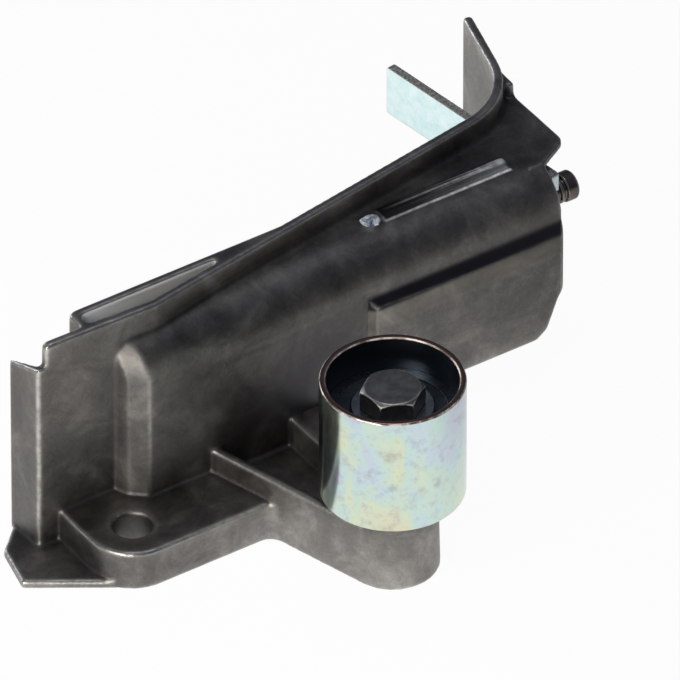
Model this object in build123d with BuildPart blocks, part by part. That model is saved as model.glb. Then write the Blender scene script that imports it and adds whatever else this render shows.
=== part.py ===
from build123d import *
import os
from math import asin, atan2, cos, hypot, radians, sin, sqrt, tan

# Timing belt tensioner unit: a die-cast bracket that carries a small belt roller on an arm
# and a hydraulic tensioning piston in a long barrel, with a belt guard wall along its back.
# Millimetres. The origin is the axis of the foot's bolt hole, on the underside.
# +X runs along the barrel to the piston, +Y to the back, +Z up along the roller's axis.

os.makedirs("parts", exist_ok=True)

# Fits
running_gap = 0.04
close_gap = 0.02
free_gap = 0.3

# Foot and thin corner plate
foot_hole_r = 4.5
foot_thick = 10.2
foot_lobe_r = 10.8
foot_step_y = 4.0
foot_reach_x = 6.0
plate_thick = 2.2
plate_front_inset = 1.8
plate_left_x = -26.4
plate_left_y = 5.0
plate_side_x = -23.5
plate_side_y = 16.9
plate_front_y = -6.6
plate_back_x = -14.7
plate_back_y = 25.2

# Cylinder block
wall_front_y = 6.1
barrel_r = 10.1
barrel_axis_z = 41.4
block_left_x = 3.8
block_right_x = 120.4
block_bottom_z = 10.8
skirt_thick = 3.6
facet_run = 4.9
facet_side_run = 1.3
facet_depth = 6.7
facet_front_depth = 3.2
facet_round = 14.0
side_round = 5.5
core_start_x = 52.0
core_count = 3
core_rib = 3.0
core_roof_z = 29.0
foot_core_start_x = 13.0
foot_core_roof_z = 42.0
core_corner_r = 0.9
end_slope_z = 22.4
end_slope_run = 7.1
end_round_run = 1.3
end_round_drop = 2.0
end_slope_low_run = 4.2
end_slope_low_drop = 9.5

# Raised pad on the front wall
pad_proud = 2.4
pad_left_x = 72.3
pad_top_z = 33.4
pad_shelf_proud = 1.6
pad_shelf_x = 68.8
pad_shelf_left_z = 38.4
pad_shelf_right_z = 36.8
pad_root_x = 67.4
pad_root_z = 40.2
pad_end_slope = 1.75
pad_shelf_inset = 1.1

# Belt guard wall with its hooked end, and the front panel at its left
rim_z = 57.6
guard_thick = 2.4
guard_end_share = 0.45
panel_left_x = -14.0
panel_corner = 1.5
panel_front_y = 13.4
bend_x = 15.0
bend_y = 12.6
guard_angle = 9.4
hook_reach = 4.6
hook_angle = 75.0
hook_radius = 22.0
hook_length = 32.2
hook_bottom_z = 30.0

# Left return flange
flange_left_x = -16.3
flange_thick = 2.5
flange_tip = 0.9
flange_near_z = 51.8
flange_far_z = 47.6

# Rear pocket wall
pocket_wall = 2.4
pocket_left_x = -3.4
pocket_back_y = 21.5
pocket_chamfer_x = 1.9
pocket_chamfer_y = 1.0
pocket_floor_z = 30.0
pocket_side = 2.0
pocket_corner_r = 1.6

# Ledge at the piston end
ledge_thick = 1.8
ledge_notch_y = 13.7
ledge_reach = 8.7
ledge_overlap = 4.0
ledge_back_run = 2.5
ledge_back_drop = 2.0
ledge_hook_run = 3.6
ledge_hook_rise = 4.2
ledge_slope_run = 7.4
ledge_slope_rise = 4.1
ledge_corner = 1.0
ledge_back_y = 46.0
upstand_height = 3.5
upstand_thick = 2.0
upstand_slope = 1.0
upstand_y = 38.1

# Bare marking strip and gate mark on the crown
strip_left_x = 78.3
strip_right_x = 113.2
strip_width = 4.2
strip_height = 0.5
strip_draft = 15.0
gate_x = 75.7
gate_back = 1.0
gate_r = 2.6
gate_height = 0.7
gate_draft = 20.0

# Arm and roller boss
roller_x = 47.8
roller_y = -32.8
boss_r = 10.75
boss_height = 19.5
boss_draft = 1.3
nose_r = 7.5
rib_top_z = 16.3
web_top_z = 8.5
web_thick = 3.5
foot_corner_r = 3.5
arm_core_corner_r = 1.5
arm_core_end = 4.0
arm_left_x = 25.1
arm_right_x = 49.6
left_rib = 2.6
right_rib = 3.3

# Rear mounting boss, behind the guard
rear_boss_x = 104.0
rear_boss_y = 42.0
rear_boss_r = 8.6
rear_boss_height = 28.0
rear_web_thick = 4.4
rear_rib_thick = 3.4
rear_rib_top_z = 24.0
rear_rib_rise = 6.0
rear_web_reach = 22.0
rear_web_side_share = 0.7
rear_web_back_share = 0.5
rear_draft = 0.8

# Post that guides the locking plate, under the ledge
keeper_reach = 6.9
keeper_y = 29.4
keeper_r = 3.1
keeper_bottom_z = 33.0
keeper_web = 2.4

# Roller and its bearing
sleeve_r = 16.5
sleeve_wall = 1.5
sleeve_bottom_z = 21.3
sleeve_height = 30.4
sleeve_edge = 0.5
sleeve_lip = 0.8
sleeve_bore_chamfer = 0.3
bearing_sink = 8.4
bearing_width = 14.0
bearing_bore_r = 5.0
ring_chamfer = 0.3
inner_ring_r = 8.6
outer_ring_inner_r = 11.6
ball_r = 2.0
ball_count = 9
row_offset = 3.0
cage_wall = 1.8
cage_inboard = 0.8
cage_outboard = 2.7
cage_gap = 0.08
race_gap = 0.05
seal_recess = 0.8
seal_sink = 0.3
seal_thick = 0.7

# Roller fastening, M8
bolt_r = 3.95
bolt_pitch_r = 3.58
bolt_flats = 13.0
bolt_head = 5.0
head_flat_r = 6.3
head_chamfer_angle = 30.0
bolt_tip_chamfer = 0.8
bolt_turn = 34.6
bolt_length = 35.0
washer_r = 9.5
washer_thick = 1.2
washer_chamfer = 0.25
spacer_flange = 2.0
spacer_bore_r = 4.2
spacer_top_gap = 0.2
thread_end_gap = 3.0

# Hydraulic piston, along +X
bore_z = 40.1
bore_r = 5.5
bore_bottom_x = 66.0
head_length = 12.0
head_hollow_r = 3.95
head_hollow_depth = 8.0
rod_r = 4.0
neck_r = 2.6
rod_chamfer = 0.4
collar_chamfer = 0.15
piston_stroke = 8.0
ring_groove_depth = 0.9
ring_width = 2.0
mouth_r = 7.2
bush_length = 4.0
seal_length = 2.8
seal_lip_half = 0.7
seal_lip_depth = 1.4
backing_thick = 1.0
snap_ring_thick = 1.0
snap_ring_width = 1.5
snap_ring_reach = 0.5
snap_ring_gap = 6.0
button_r = 3.5
button_edge = 0.5
button_length = 3.2
button_groove_r = 2.8
button_groove = 0.8
collar_r = 3.3
collar_length = 0.8
valve_thick = 5.0
valve_hole_r = 1.2
valve_seat_share = 1.15
valve_seat_rise = 0.3
valve_seat_depth = 0.5
check_ball_r = 1.6
check_ball_seat_share = 0.72
valve_cage_wall = 0.6
valve_cage_side_gap = 0.25
valve_cage_end_gap = 0.35
valve_cage_hole_r = 0.5
valve_cage_slot = 1.2
valve_cage_flange_r = 4.6
spring_r = 3.3
spring_wire_r = 0.45
spring_turns = 9.0
filling_ball_r = 2.5
filling_ball_x = 80.0

# Locking plate, forked round the piston's neck
lock_thick = 2.2
lock_height = 13.0
lock_mid_z = 41.4
lock_length = 55.2
lock_prong = 3.9
lock_corner = 0.8
lock_tilt = 8.4
lock_gap = 0.6
locked_travel = 1.0
collar_gap = 0.2
mouth_gap = 0.3
head_stop_gap = 0.5

# Places that follow from the sizes above
barrel_y = wall_front_y + barrel_r
barrel_top_z = barrel_axis_z + barrel_r
hook_x = block_right_x + hook_reach
ledge_right_x = block_right_x + ledge_reach
keeper_x = block_right_x + keeper_reach
guard_slope = tan(radians(guard_angle))
hook_y = bend_y + guard_slope * (hook_x - bend_x)
hook_end_x = hook_x + hook_length * cos(radians(hook_angle))
hook_end_y = hook_y + hook_length * sin(radians(hook_angle))
guard_depth = guard_thick / cos(radians(guard_angle))
block_back_y = bend_y + guard_slope * (block_right_x - bend_x) + guard_depth
barrel_line = Axis((0, barrel_y, bore_z), (1, 0, 0))
bearing_top_z = sleeve_bottom_z + sleeve_height - bearing_sink
bearing_bottom_z = bearing_top_z - bearing_width
bearing_mid_z = bearing_top_z - bearing_width / 2
sleeve_bore_r = sleeve_r - sleeve_wall
outer_ring_r = sleeve_bore_r - close_gap
pitch_r = (inner_ring_r + outer_ring_inner_r) / 2
nose_top_z = bearing_bottom_z - spacer_flange
washer_top_z = bearing_top_z + washer_thick
bolt_tip_z = washer_top_z - bolt_length
lock_left_x = block_right_x + lock_gap
lock_depth = lock_thick / cos(radians(lock_tilt))
lock_slope = tan(radians(lock_tilt))
shoulder_x = lock_left_x - rod_r * lock_slope - free_gap
collar_x = lock_left_x + lock_depth + collar_r * lock_slope + locked_travel + collar_gap
groove_x = collar_x + collar_length
button_x = groove_x + button_groove
button_end_x = button_x + button_length
snap_end_x = lock_left_x - free_gap - (mouth_r + snap_ring_reach) * lock_slope - mouth_gap
snap_x = snap_end_x - snap_ring_thick
mouth_x = snap_x - backing_thick - seal_length - bush_length
head_end_x = mouth_x - piston_stroke - head_stop_gap
head_start_x = head_end_x - head_length


def guard_front_y(x):
    """Place along Y of the guard's front face right of the bend, at a place along X."""
    return bend_y + guard_slope * (x - bend_x)


def guard_back_y(x):
    """Place along Y of the guard's rear face right of the bend, at a place along X."""
    return guard_front_y(x) + guard_depth


def arm_tangent():
    """Heading of the arm's left face, and the point where it touches the roller boss."""
    run_x = roller_x - arm_left_x
    run_y = roller_y - wall_front_y
    reach = hypot(run_x, run_y)
    heading = atan2(run_y, run_x) - asin(boss_r / reach)
    length = sqrt(reach**2 - boss_r**2)
    return heading, (arm_left_x + length * cos(heading), wall_front_y + length * sin(heading))


arm_heading, arm_touch = arm_tangent()
facet_points = [
    (block_left_x, wall_front_y + facet_depth),
    (block_left_x + facet_side_run, wall_front_y + facet_front_depth),
    (block_left_x + facet_run, wall_front_y),
]


# Housing: the die-cast bracket, one piece
with BuildPart() as housing:
    # Block: the barrel's crown and front wall, as one section along X
    with BuildSketch(Plane.YZ.offset(block_left_x)) as block_section:
        with BuildLine():
            Polyline(
                (barrel_y, barrel_top_z),
                (block_back_y, barrel_top_z),
                (block_back_y, block_bottom_z),
                (wall_front_y, block_bottom_z),
                (wall_front_y, barrel_axis_z),
            )
            RadiusArc((wall_front_y, barrel_axis_z), (barrel_y, barrel_top_z), barrel_r)
        make_face()
    extrude(amount=block_right_x - block_left_x)
    # The block's left end turns back to the panel in two facets, each rounded into the top
    for start, end, edge_r, edge_z in (
        (facet_points[0], facet_points[1], side_round, barrel_top_z - side_round),
        (facet_points[1], facet_points[2], facet_round, barrel_axis_z),
    ):
        outward = Vector(end[1] - start[1], start[0] - end[0], 0).normalized()
        facet_plane = Plane(
            origin=(start[0], start[1], 0),
            x_dir=(outward.X, outward.Y, 0),
            z_dir=(outward.Y, -outward.X, 0),
        )
        reach_z = barrel_top_z + 1
        drop = edge_r - sqrt(edge_r**2 - min(edge_r, barrel_top_z - edge_z) ** 2)
        with BuildSketch(facet_plane.offset(-barrel_r)) as facet_cut:
            with BuildLine():
                Polyline(
                    (-drop, barrel_top_z),
                    (-drop, reach_z),
                    (barrel_r, reach_z),
                    (barrel_r, block_bottom_z - 1),
                    (0, block_bottom_z - 1),
                    (0, edge_z),
                )
                RadiusArc((-drop, barrel_top_z), (0, edge_z), edge_r)
            make_face()
        extrude(amount=4 * barrel_r, mode=Mode.SUBTRACT)
    # The right end slopes in towards the bottom
    end_points = [
        (block_right_x, end_slope_z),
        (block_right_x - end_round_run, end_slope_z - end_round_drop),
        (block_right_x - end_slope_low_run, end_slope_z - end_slope_low_drop),
        (block_right_x - end_slope_run, block_bottom_z),
    ]
    with BuildSketch(Plane.XZ) as end_slope:
        with BuildLine():
            Polyline(
                (block_right_x + 1, end_slope_z),
                *end_points,
                (block_right_x - end_slope_run, block_bottom_z - 1),
                (block_right_x + 1, block_bottom_z - 1),
                close=True,
            )
        make_face()
    extrude(amount=-block_back_y - 1, mode=Mode.SUBTRACT)
    # Solid foot of the block between the foot and the arm
    with BuildSketch(Plane.XY) as sill:
        with BuildLine():
            Polyline(
                *facet_points,
                (arm_right_x, wall_front_y),
                (arm_right_x, guard_back_y(arm_right_x)),
                (block_left_x, guard_back_y(arm_right_x)),
                close=True,
            )
        make_face()
    extrude(amount=block_bottom_z)
    # Back of the block, along the guard's rear face
    with BuildSketch(Plane.XY) as behind_guard:
        with BuildLine():
            Polyline(
                (-foot_lobe_r - 1, panel_front_y + guard_thick),
                (bend_x, bend_y + guard_depth),
                (block_right_x + 1, guard_back_y(block_right_x + 1)),
                (block_right_x + 1, block_back_y + 20),
                (-foot_lobe_r - 1, block_back_y + 20),
                close=True,
            )
        make_face()
    extrude(amount=rim_z, mode=Mode.SUBTRACT)
    # Guard wall, hooked at the piston end
    with BuildSketch(Plane.XY.offset(hook_bottom_z)) as guard_plan:
        with BuildLine():
            FilletPolyline(
                (bend_x, bend_y),
                (hook_x, hook_y),
                (hook_end_x, hook_end_y),
                radius=hook_radius,
            )
            offset(amount=guard_thick, side=Side.LEFT)
        make_face()
        fillet(guard_plan.vertices().sort_by(Axis.Y)[-2:], radius=guard_end_share * guard_thick)
    extrude(amount=rim_z - hook_bottom_z)
    # Front panel left of the bend, with a rounded upper corner
    with BuildSketch(Plane.XY) as panel_plan:
        with BuildLine():
            Polyline(
                (panel_left_x, panel_front_y),
                (bend_x, bend_y),
                (bend_x, bend_y + guard_depth),
                (panel_left_x, panel_front_y + guard_thick),
                close=True,
            )
        make_face()
    extrude(amount=rim_z)
    with BuildSketch(Plane.XZ) as panel_round:
        with BuildLine():
            Polyline(
                (panel_left_x, rim_z - panel_corner),
                (panel_left_x - 1, rim_z - panel_corner),
                (panel_left_x - 1, rim_z + 1),
                (panel_left_x + panel_corner, rim_z + 1),
                (panel_left_x + panel_corner, rim_z),
            )
            RadiusArc(
                (panel_left_x, rim_z - panel_corner),
                (panel_left_x + panel_corner, rim_z),
                panel_corner,
            )
        make_face()
    extrude(amount=-block_back_y, mode=Mode.SUBTRACT)
    # Left return flange: it thins to the back, and its top edge slopes down to the back
    with BuildSketch(Plane.XY) as flange_plan:
        with BuildLine():
            Polyline(
                (flange_left_x, panel_front_y),
                (flange_left_x + flange_thick, panel_front_y),
                (flange_left_x + flange_tip, plate_back_y),
                (flange_left_x, plate_back_y),
                close=True,
            )
        make_face()
    extrude(amount=flange_near_z)
    with BuildSketch(Plane.YZ.offset(flange_left_x - 1)) as flange_top:
        with BuildLine():
            Polyline(
                (panel_front_y, flange_near_z),
                (panel_front_y, rim_z),
                (plate_back_y + 1, rim_z),
                (plate_back_y + 1, flange_far_z),
                (plate_back_y, flange_far_z),
                close=True,
            )
        make_face()
    extrude(amount=panel_left_x - flange_left_x + 1, mode=Mode.SUBTRACT)
    # Rear pocket box
    with BuildSketch(Plane.XY) as pocket_box:
        with BuildLine():
            Polyline(
                (pocket_left_x, panel_front_y + 1),
                (bend_x, bend_y + 1),
                (
                    bend_x + (pocket_back_y - bend_y - guard_depth) / guard_slope,
                    pocket_back_y,
                ),
                (pocket_left_x + pocket_chamfer_x, pocket_back_y),
                (pocket_left_x, pocket_back_y - pocket_chamfer_y),
                close=True,
            )
        make_face()
    extrude(amount=rim_z)
    with BuildSketch(Plane.XY.offset(pocket_floor_z)) as pocket_core:
        with BuildLine():
            Polyline(
                (pocket_left_x + pocket_side, panel_front_y + guard_thick),
                (bend_x, bend_y + guard_depth),
                (
                    bend_x + (pocket_back_y - pocket_wall - bend_y - guard_depth) / guard_slope,
                    pocket_back_y - pocket_wall,
                ),
                (pocket_left_x + pocket_side, pocket_back_y - pocket_wall),
                close=True,
            )
        make_face()
        fillet(pocket_core.vertices().sort_by(Axis.X)[:2], radius=pocket_corner_r)
    extrude(amount=rim_z - pocket_floor_z, mode=Mode.SUBTRACT)
    # Thin corner plate
    with BuildSketch(Plane.XY) as corner_plate:
        with BuildLine():
            Polyline(
                (-foot_lobe_r + plate_front_inset, plate_front_y),
                (plate_left_x, plate_left_y),
                (plate_side_x, plate_side_y),
                (plate_back_x, plate_back_y),
                (pocket_left_x + 1, plate_back_y),
                (pocket_left_x + 1, plate_front_y),
                close=True,
            )
        make_face()
    extrude(amount=plate_thick)
    # Foot: a thick lobe round the bolt hole that runs on to the arm
    with BuildSketch(Plane.XY) as foot_plan:
        with BuildLine():
            Polyline(
                (-foot_lobe_r, 0),
                (-foot_lobe_r, panel_front_y + 1),
                (arm_right_x, wall_front_y + 1),
                (arm_right_x, wall_front_y - foot_step_y),
                (arm_left_x + foot_reach_x, -foot_lobe_r),
                (0, -foot_lobe_r),
                (0, 0),
                close=True,
            )
        make_face()
        Circle(foot_lobe_r)
    extrude(amount=foot_thick)
    # Arm: two ribs on a web, out to the roller boss
    with BuildSketch(Plane.XY) as arm_plan:
        with BuildLine():
            Polyline(
                (arm_left_x, wall_front_y + 1),
                (arm_left_x, wall_front_y),
                arm_touch,
                (roller_x, roller_y),
                (arm_right_x, roller_y),
                (arm_right_x, wall_front_y + 1),
                close=True,
            )
        make_face()
    extrude(amount=rib_top_z)
    with BuildSketch(Plane.XY) as boss_foot:
        with Locations((roller_x, roller_y)):
            Circle(boss_r)
    extrude(amount=boss_height, taper=boss_draft)
    inward = Vector(-sin(arm_heading), cos(arm_heading)) * left_rib
    with BuildSketch(Plane.XY.offset(web_top_z)) as channel:
        with BuildLine():
            Polyline(
                (arm_left_x + inward.X, wall_front_y),
                (arm_touch[0] + inward.X, arm_touch[1] + inward.Y),
                (arm_right_x - right_rib, arm_touch[1] + inward.Y),
                (arm_right_x - right_rib, wall_front_y),
                close=True,
            )
        make_face()
        with Locations((roller_x, roller_y)):
            Circle(boss_r, mode=Mode.SUBTRACT)
    extrude(amount=rib_top_z, mode=Mode.SUBTRACT)
    # Pocket under the arm's web, and two under the block's left half
    with BuildSketch(Plane.XY) as arm_core:
        with BuildLine():
            Polyline(
                (arm_left_x + inward.X + 1, wall_front_y - 2),
                (arm_touch[0] + inward.X + 1, arm_touch[1] + inward.Y + arm_core_end),
                (arm_right_x - right_rib, arm_touch[1] + inward.Y + arm_core_end),
                (arm_right_x - right_rib, wall_front_y - 2),
                close=True,
            )
        make_face()
        with Locations((roller_x, roller_y)):
            Circle(boss_r + 1, mode=Mode.SUBTRACT)
        fillet(arm_core.vertices().sort_by(Axis.Y)[-2:], radius=arm_core_corner_r)
    extrude(amount=web_top_z - web_thick, mode=Mode.SUBTRACT)
    with BuildSketch(Plane.XY.offset(boss_height)) as nose:
        with Locations((roller_x, roller_y)):
            Circle(nose_r)
    extrude(amount=nose_top_z - boss_height)
    # Raised pad: it steps out from the wall to a steep shelf, then to its face
    pad_sections = (
        (0, pad_root_x, pad_root_z, pad_root_z, 0),
        (pad_shelf_proud, pad_shelf_x, pad_shelf_left_z, pad_shelf_right_z, pad_shelf_inset),
        (pad_proud, pad_left_x, pad_top_z, pad_top_z, pad_end_slope),
    )
    for near, far in zip(pad_sections[:-1], pad_sections[1:]):
        for proud, left_x, left_z, right_z, inset in (near, far):
            with BuildSketch(Plane.XZ.offset(proud - wall_front_y)):
                with BuildLine():
                    Polyline(
                        (left_x, block_bottom_z),
                        (end_points[3][0] - inset, block_bottom_z),
                        (end_points[2][0] - inset, end_points[2][1]),
                        (end_points[1][0] - inset, end_points[1][1]),
                        (end_points[0][0] - inset, end_points[0][1]),
                        (block_right_x - inset, right_z),
                        (left_x, left_z),
                        close=True,
                    )
                make_face()
        loft(ruled=True)
    # Ledge at the piston end, notched beside the button, with a short upstand at its back
    with BuildSketch(Plane.XY.offset(barrel_top_z - ledge_thick)) as ledge:
        with BuildLine():
            Polyline(
                (block_right_x - ledge_overlap, ledge_notch_y),
                (block_right_x, ledge_notch_y),
                (block_right_x + ledge_slope_run, ledge_notch_y + ledge_slope_rise),
                (ledge_right_x, ledge_notch_y + ledge_slope_rise + 2 * ledge_corner),
                (ledge_right_x, ledge_back_y),
                (hook_x + ledge_back_run, ledge_back_y - ledge_back_drop),
                (hook_x - ledge_hook_run, hook_y + ledge_hook_rise),
                (block_right_x - ledge_overlap, hook_y - 1),
                close=True,
            )
        make_face()
    extrude(amount=ledge_thick)
    with BuildSketch(Plane.XY.offset(barrel_top_z)) as upstand:
        with BuildLine():
            Polyline(
                (ledge_right_x, upstand_y),
                (ledge_right_x, ledge_back_y),
                (ledge_right_x - upstand_thick, ledge_back_y - upstand_slope),
                (ledge_right_x - upstand_thick, upstand_y),
                close=True,
            )
        make_face()
    extrude(amount=upstand_height)
    # Keeper post under the ledge, tied to the guard's hook by a short wall
    with BuildSketch(Plane.XY.offset(keeper_bottom_z)) as keeper:
        with Locations((keeper_x, keeper_y)):
            Circle(keeper_r)
        with BuildLine():
            Polyline(
                (keeper_x - keeper_web / 2, keeper_y),
                (keeper_x + keeper_web / 2, keeper_y),
                (keeper_x + keeper_web / 2, ledge_back_y - ledge_back_drop),
                (keeper_x - keeper_web / 2, ledge_back_y - ledge_back_drop),
                close=True,
            )
        make_face()
    extrude(amount=barrel_top_z - ledge_thick - keeper_bottom_z)
    # Bare marking strip and the round gate mark on the crown
    with BuildSketch(Plane.XY.offset(barrel_top_z - strip_height)) as marking_strip:
        with Locations(((strip_left_x + strip_right_x) / 2, barrel_y + strip_width / 2)):
            Rectangle(strip_right_x - strip_left_x, strip_width)
    extrude(amount=2 * strip_height, taper=strip_draft)
    with BuildSketch(Plane.XY.offset(barrel_top_z - gate_height)) as gate_mark:
        with Locations((gate_x, barrel_y + gate_back)):
            Circle(gate_r)
    extrude(amount=2 * gate_height, taper=gate_draft)
    # Rear mounting boss, tied to the block by a web and a rib
    with BuildSketch(Plane.XY) as rear_boss:
        with Locations((rear_boss_x, rear_boss_y)):
            Circle(rear_boss_r)
    extrude(amount=rear_boss_height, taper=rear_draft)
    with BuildSketch(Plane.XY.offset(block_bottom_z)) as rear_web:
        with BuildLine():
            Polyline(
                (rear_boss_x - rear_web_reach, guard_front_y(rear_boss_x - rear_web_reach) + 1),
                (
                    rear_boss_x - rear_web_side_share * rear_boss_r,
                    rear_boss_y + rear_web_back_share * rear_boss_r,
                ),
                (rear_boss_x + rear_boss_r - free_gap, rear_boss_y),
                (rear_boss_x + rear_boss_r, guard_front_y(rear_boss_x + rear_boss_r) + 1),
                close=True,
            )
        make_face()
    extrude(amount=rear_web_thick)
    with BuildSketch(Plane.YZ.offset(rear_boss_x - rear_rib_thick / 2)) as rear_rib:
        with BuildLine():
            Polyline(
                (guard_front_y(rear_boss_x) + 1, block_bottom_z),
                (rear_boss_y, block_bottom_z),
                (rear_boss_y, rear_rib_top_z),
                (guard_front_y(rear_boss_x) + 1, rear_rib_top_z + rear_rib_rise),
                close=True,
            )
        make_face()
    extrude(amount=rear_rib_thick)
    # Cored pockets under the barrel, with ribs between them
    core_end_x = block_right_x - end_slope_run
    core_length = (core_end_x - core_start_x - (core_count - 1) * core_rib) / core_count
    foot_core_length = (arm_right_x - foot_core_start_x - 2 * core_rib) / 2
    cores = []
    for index in range(core_count):
        core_left = core_start_x + index * (core_length + core_rib)
        cores.append((core_left, core_left + core_length, block_bottom_z, core_roof_z))
    for index in range(2):
        core_left = foot_core_start_x + index * (foot_core_length + core_rib)
        cores.append((core_left, core_left + foot_core_length, 0, foot_core_roof_z))
    for core_left, core_right, floor_z, roof_z in cores:
        with BuildSketch(Plane.XY.offset(floor_z)) as core:
            with BuildLine():
                Polyline(
                    (core_left, wall_front_y + skirt_thick),
                    (core_right, wall_front_y + skirt_thick),
                    (core_right, guard_front_y(core_right)),
                    (core_left, guard_front_y(core_left)),
                    close=True,
                )
            make_face()
            fillet(core.vertices(), radius=core_corner_r)
        extrude(amount=roof_z - floor_z, mode=Mode.SUBTRACT)
    # Bolt holes
    with Locations((0, 0, foot_thick)):
        Hole(foot_hole_r)
    with Locations((rear_boss_x, rear_boss_y, rear_boss_height)):
        Hole(foot_hole_r)
    # Thread hole of the roller bolt
    with BuildSketch(Plane.XY.offset(bolt_tip_z - thread_end_gap)) as thread_hole:
        with Locations((roller_x, roller_y)):
            Circle(bolt_pitch_r + close_gap)
    extrude(amount=nose_top_z - bolt_tip_z + thread_end_gap, mode=Mode.SUBTRACT)
    # Bore of the piston, its wider mouth and the snap ring groove
    with BuildSketch(Plane.XY.offset(bore_z)) as bore_half:
        with BuildLine():
            Polyline(
                (bore_bottom_x, barrel_y),
                (bore_bottom_x, barrel_y + bore_r),
                (mouth_x, barrel_y + bore_r),
                (mouth_x, barrel_y + mouth_r),
                (snap_x, barrel_y + mouth_r),
                (snap_x, barrel_y + mouth_r + snap_ring_reach),
                (snap_end_x, barrel_y + mouth_r + snap_ring_reach),
                (snap_end_x, barrel_y + mouth_r),
                (block_right_x + 1, barrel_y + mouth_r),
                (block_right_x + 1, barrel_y),
                close=True,
            )
        make_face()
    revolve(axis=barrel_line, mode=Mode.SUBTRACT)
    # Filling hole up into the bore, closed by a pressed ball
    with BuildSketch(Plane.XY.offset(core_roof_z)) as filling_hole:
        with Locations((filling_ball_x, barrel_y)):
            Circle(filling_ball_r)
    extrude(amount=bore_z - core_roof_z, mode=Mode.SUBTRACT)
    # Slot of the locking plate through the block's end and the guard's hook
    lock_frame = Plane(
        origin=(lock_left_x, barrel_y, lock_mid_z),
        x_dir=(-sin(radians(lock_tilt)), cos(radians(lock_tilt)), 0),
        z_dir=(cos(radians(lock_tilt)), sin(radians(lock_tilt)), 0),
    )
    slot_length = lock_length + 2 * free_gap
    with BuildSketch(lock_frame.offset(-free_gap)) as lock_slot:
        with Locations((slot_length / 2 - lock_prong - free_gap, 0)):
            Rectangle(slot_length, lock_height + 2 * free_gap)
    extrude(amount=lock_thick + 2 * free_gap, mode=Mode.SUBTRACT)
    # Cast corner where the foot runs into the arm
    corner_x = arm_left_x + (wall_front_y + foot_lobe_r) / tan(-arm_heading)
    corner_edge = housing.edges().filter_by(Axis.Z).sort_by_distance((corner_x, -foot_lobe_r, 1))[0]
    fillet(corner_edge, radius=foot_corner_r)
housing.part.label = "housing"
export_step(housing.part, "parts/housing.step")


# Roller sleeve: thin turned steel tube with a small lip under the bearing
sleeve_axis = Axis((roller_x, roller_y, 0), (0, 0, 1))
roller_section = Plane(origin=(roller_x, roller_y, 0), x_dir=(1, 0, 0), z_dir=(0, -1, 0))
with BuildPart() as roller_sleeve:
    with BuildSketch(roller_section) as sleeve_section:
        with BuildLine():
            Polyline(
                (sleeve_bore_r, bearing_bottom_z),
                (sleeve_bore_r, sleeve_bottom_z + sleeve_height - sleeve_bore_chamfer),
                (sleeve_bore_r + sleeve_bore_chamfer, sleeve_bottom_z + sleeve_height),
                (sleeve_r, sleeve_bottom_z + sleeve_height),
                (sleeve_r, sleeve_bottom_z),
                (sleeve_bore_r, sleeve_bottom_z),
                (sleeve_bore_r, bearing_bottom_z - 2 * sleeve_lip),
                (sleeve_bore_r - sleeve_lip, bearing_bottom_z - sleeve_lip),
                (sleeve_bore_r - sleeve_lip, bearing_bottom_z),
                close=True,
            )
        make_face()
        fillet(sleeve_section.vertices().group_by(Axis.X)[-1], radius=sleeve_edge)
    revolve(axis=sleeve_axis)
roller_sleeve.part.label = "roller_sleeve"
export_step(roller_sleeve.part, "parts/roller_sleeve.step")


# Outer ring of the double-row ball bearing, with two raceways and a step for each shield
groove_r = ball_r + race_gap
with BuildPart() as bearing_outer_ring:
    with BuildSketch(roller_section) as outer_section:
        with Locations(((outer_ring_inner_r + outer_ring_r) / 2, bearing_mid_z)):
            Rectangle(outer_ring_r - outer_ring_inner_r, bearing_width)
        for side in (-1, 1):
            with Locations((pitch_r, bearing_mid_z + side * row_offset)):
                Circle(groove_r, mode=Mode.SUBTRACT)
            step_z = bearing_mid_z + side * (bearing_width - seal_sink - seal_thick) / 2
            with Locations((outer_ring_inner_r + seal_recess / 2, step_z)):
                Rectangle(seal_recess, seal_sink + seal_thick, mode=Mode.SUBTRACT)
    revolve(axis=sleeve_axis)
bearing_outer_ring.part.label = "bearing_outer_ring"
export_step(bearing_outer_ring.part, "parts/bearing_outer_ring.step")


# Inner ring of the bearing
with BuildPart() as bearing_inner_ring:
    with BuildSketch(roller_section) as inner_section:
        with Locations(((bearing_bore_r + inner_ring_r) / 2, bearing_mid_z)):
            Rectangle(inner_ring_r - bearing_bore_r, bearing_width)
        chamfer(inner_section.vertices(), length=ring_chamfer)
        for side in (-1, 1):
            with Locations((pitch_r, bearing_mid_z + side * row_offset)):
                Circle(groove_r, mode=Mode.SUBTRACT)
    revolve(axis=sleeve_axis)
bearing_inner_ring.part.label = "bearing_inner_ring"
export_step(bearing_inner_ring.part, "parts/bearing_inner_ring.step")


# Shields, pressed into the outer ring's steps
with BuildPart() as bearing_seal_upper:
    with BuildSketch(Plane.XY.offset(bearing_top_z - seal_sink - seal_thick)) as upper_seal:
        with Locations((roller_x, roller_y)):
            Circle(outer_ring_inner_r + seal_recess)
            Circle(inner_ring_r + free_gap, mode=Mode.SUBTRACT)
    extrude(amount=seal_thick)
bearing_seal_upper.part.label = "bearing_seal_upper"
export_step(bearing_seal_upper.part, "parts/bearing_seal_upper.step")

with BuildPart() as bearing_seal_lower:
    with BuildSketch(Plane.XY.offset(bearing_bottom_z + seal_sink)) as lower_seal:
        with Locations((roller_x, roller_y)):
            Circle(outer_ring_inner_r + seal_recess)
            Circle(inner_ring_r + free_gap, mode=Mode.SUBTRACT)
    extrude(amount=seal_thick)
bearing_seal_lower.part.label = "bearing_seal_lower"
export_step(bearing_seal_lower.part, "parts/bearing_seal_lower.step")


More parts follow.
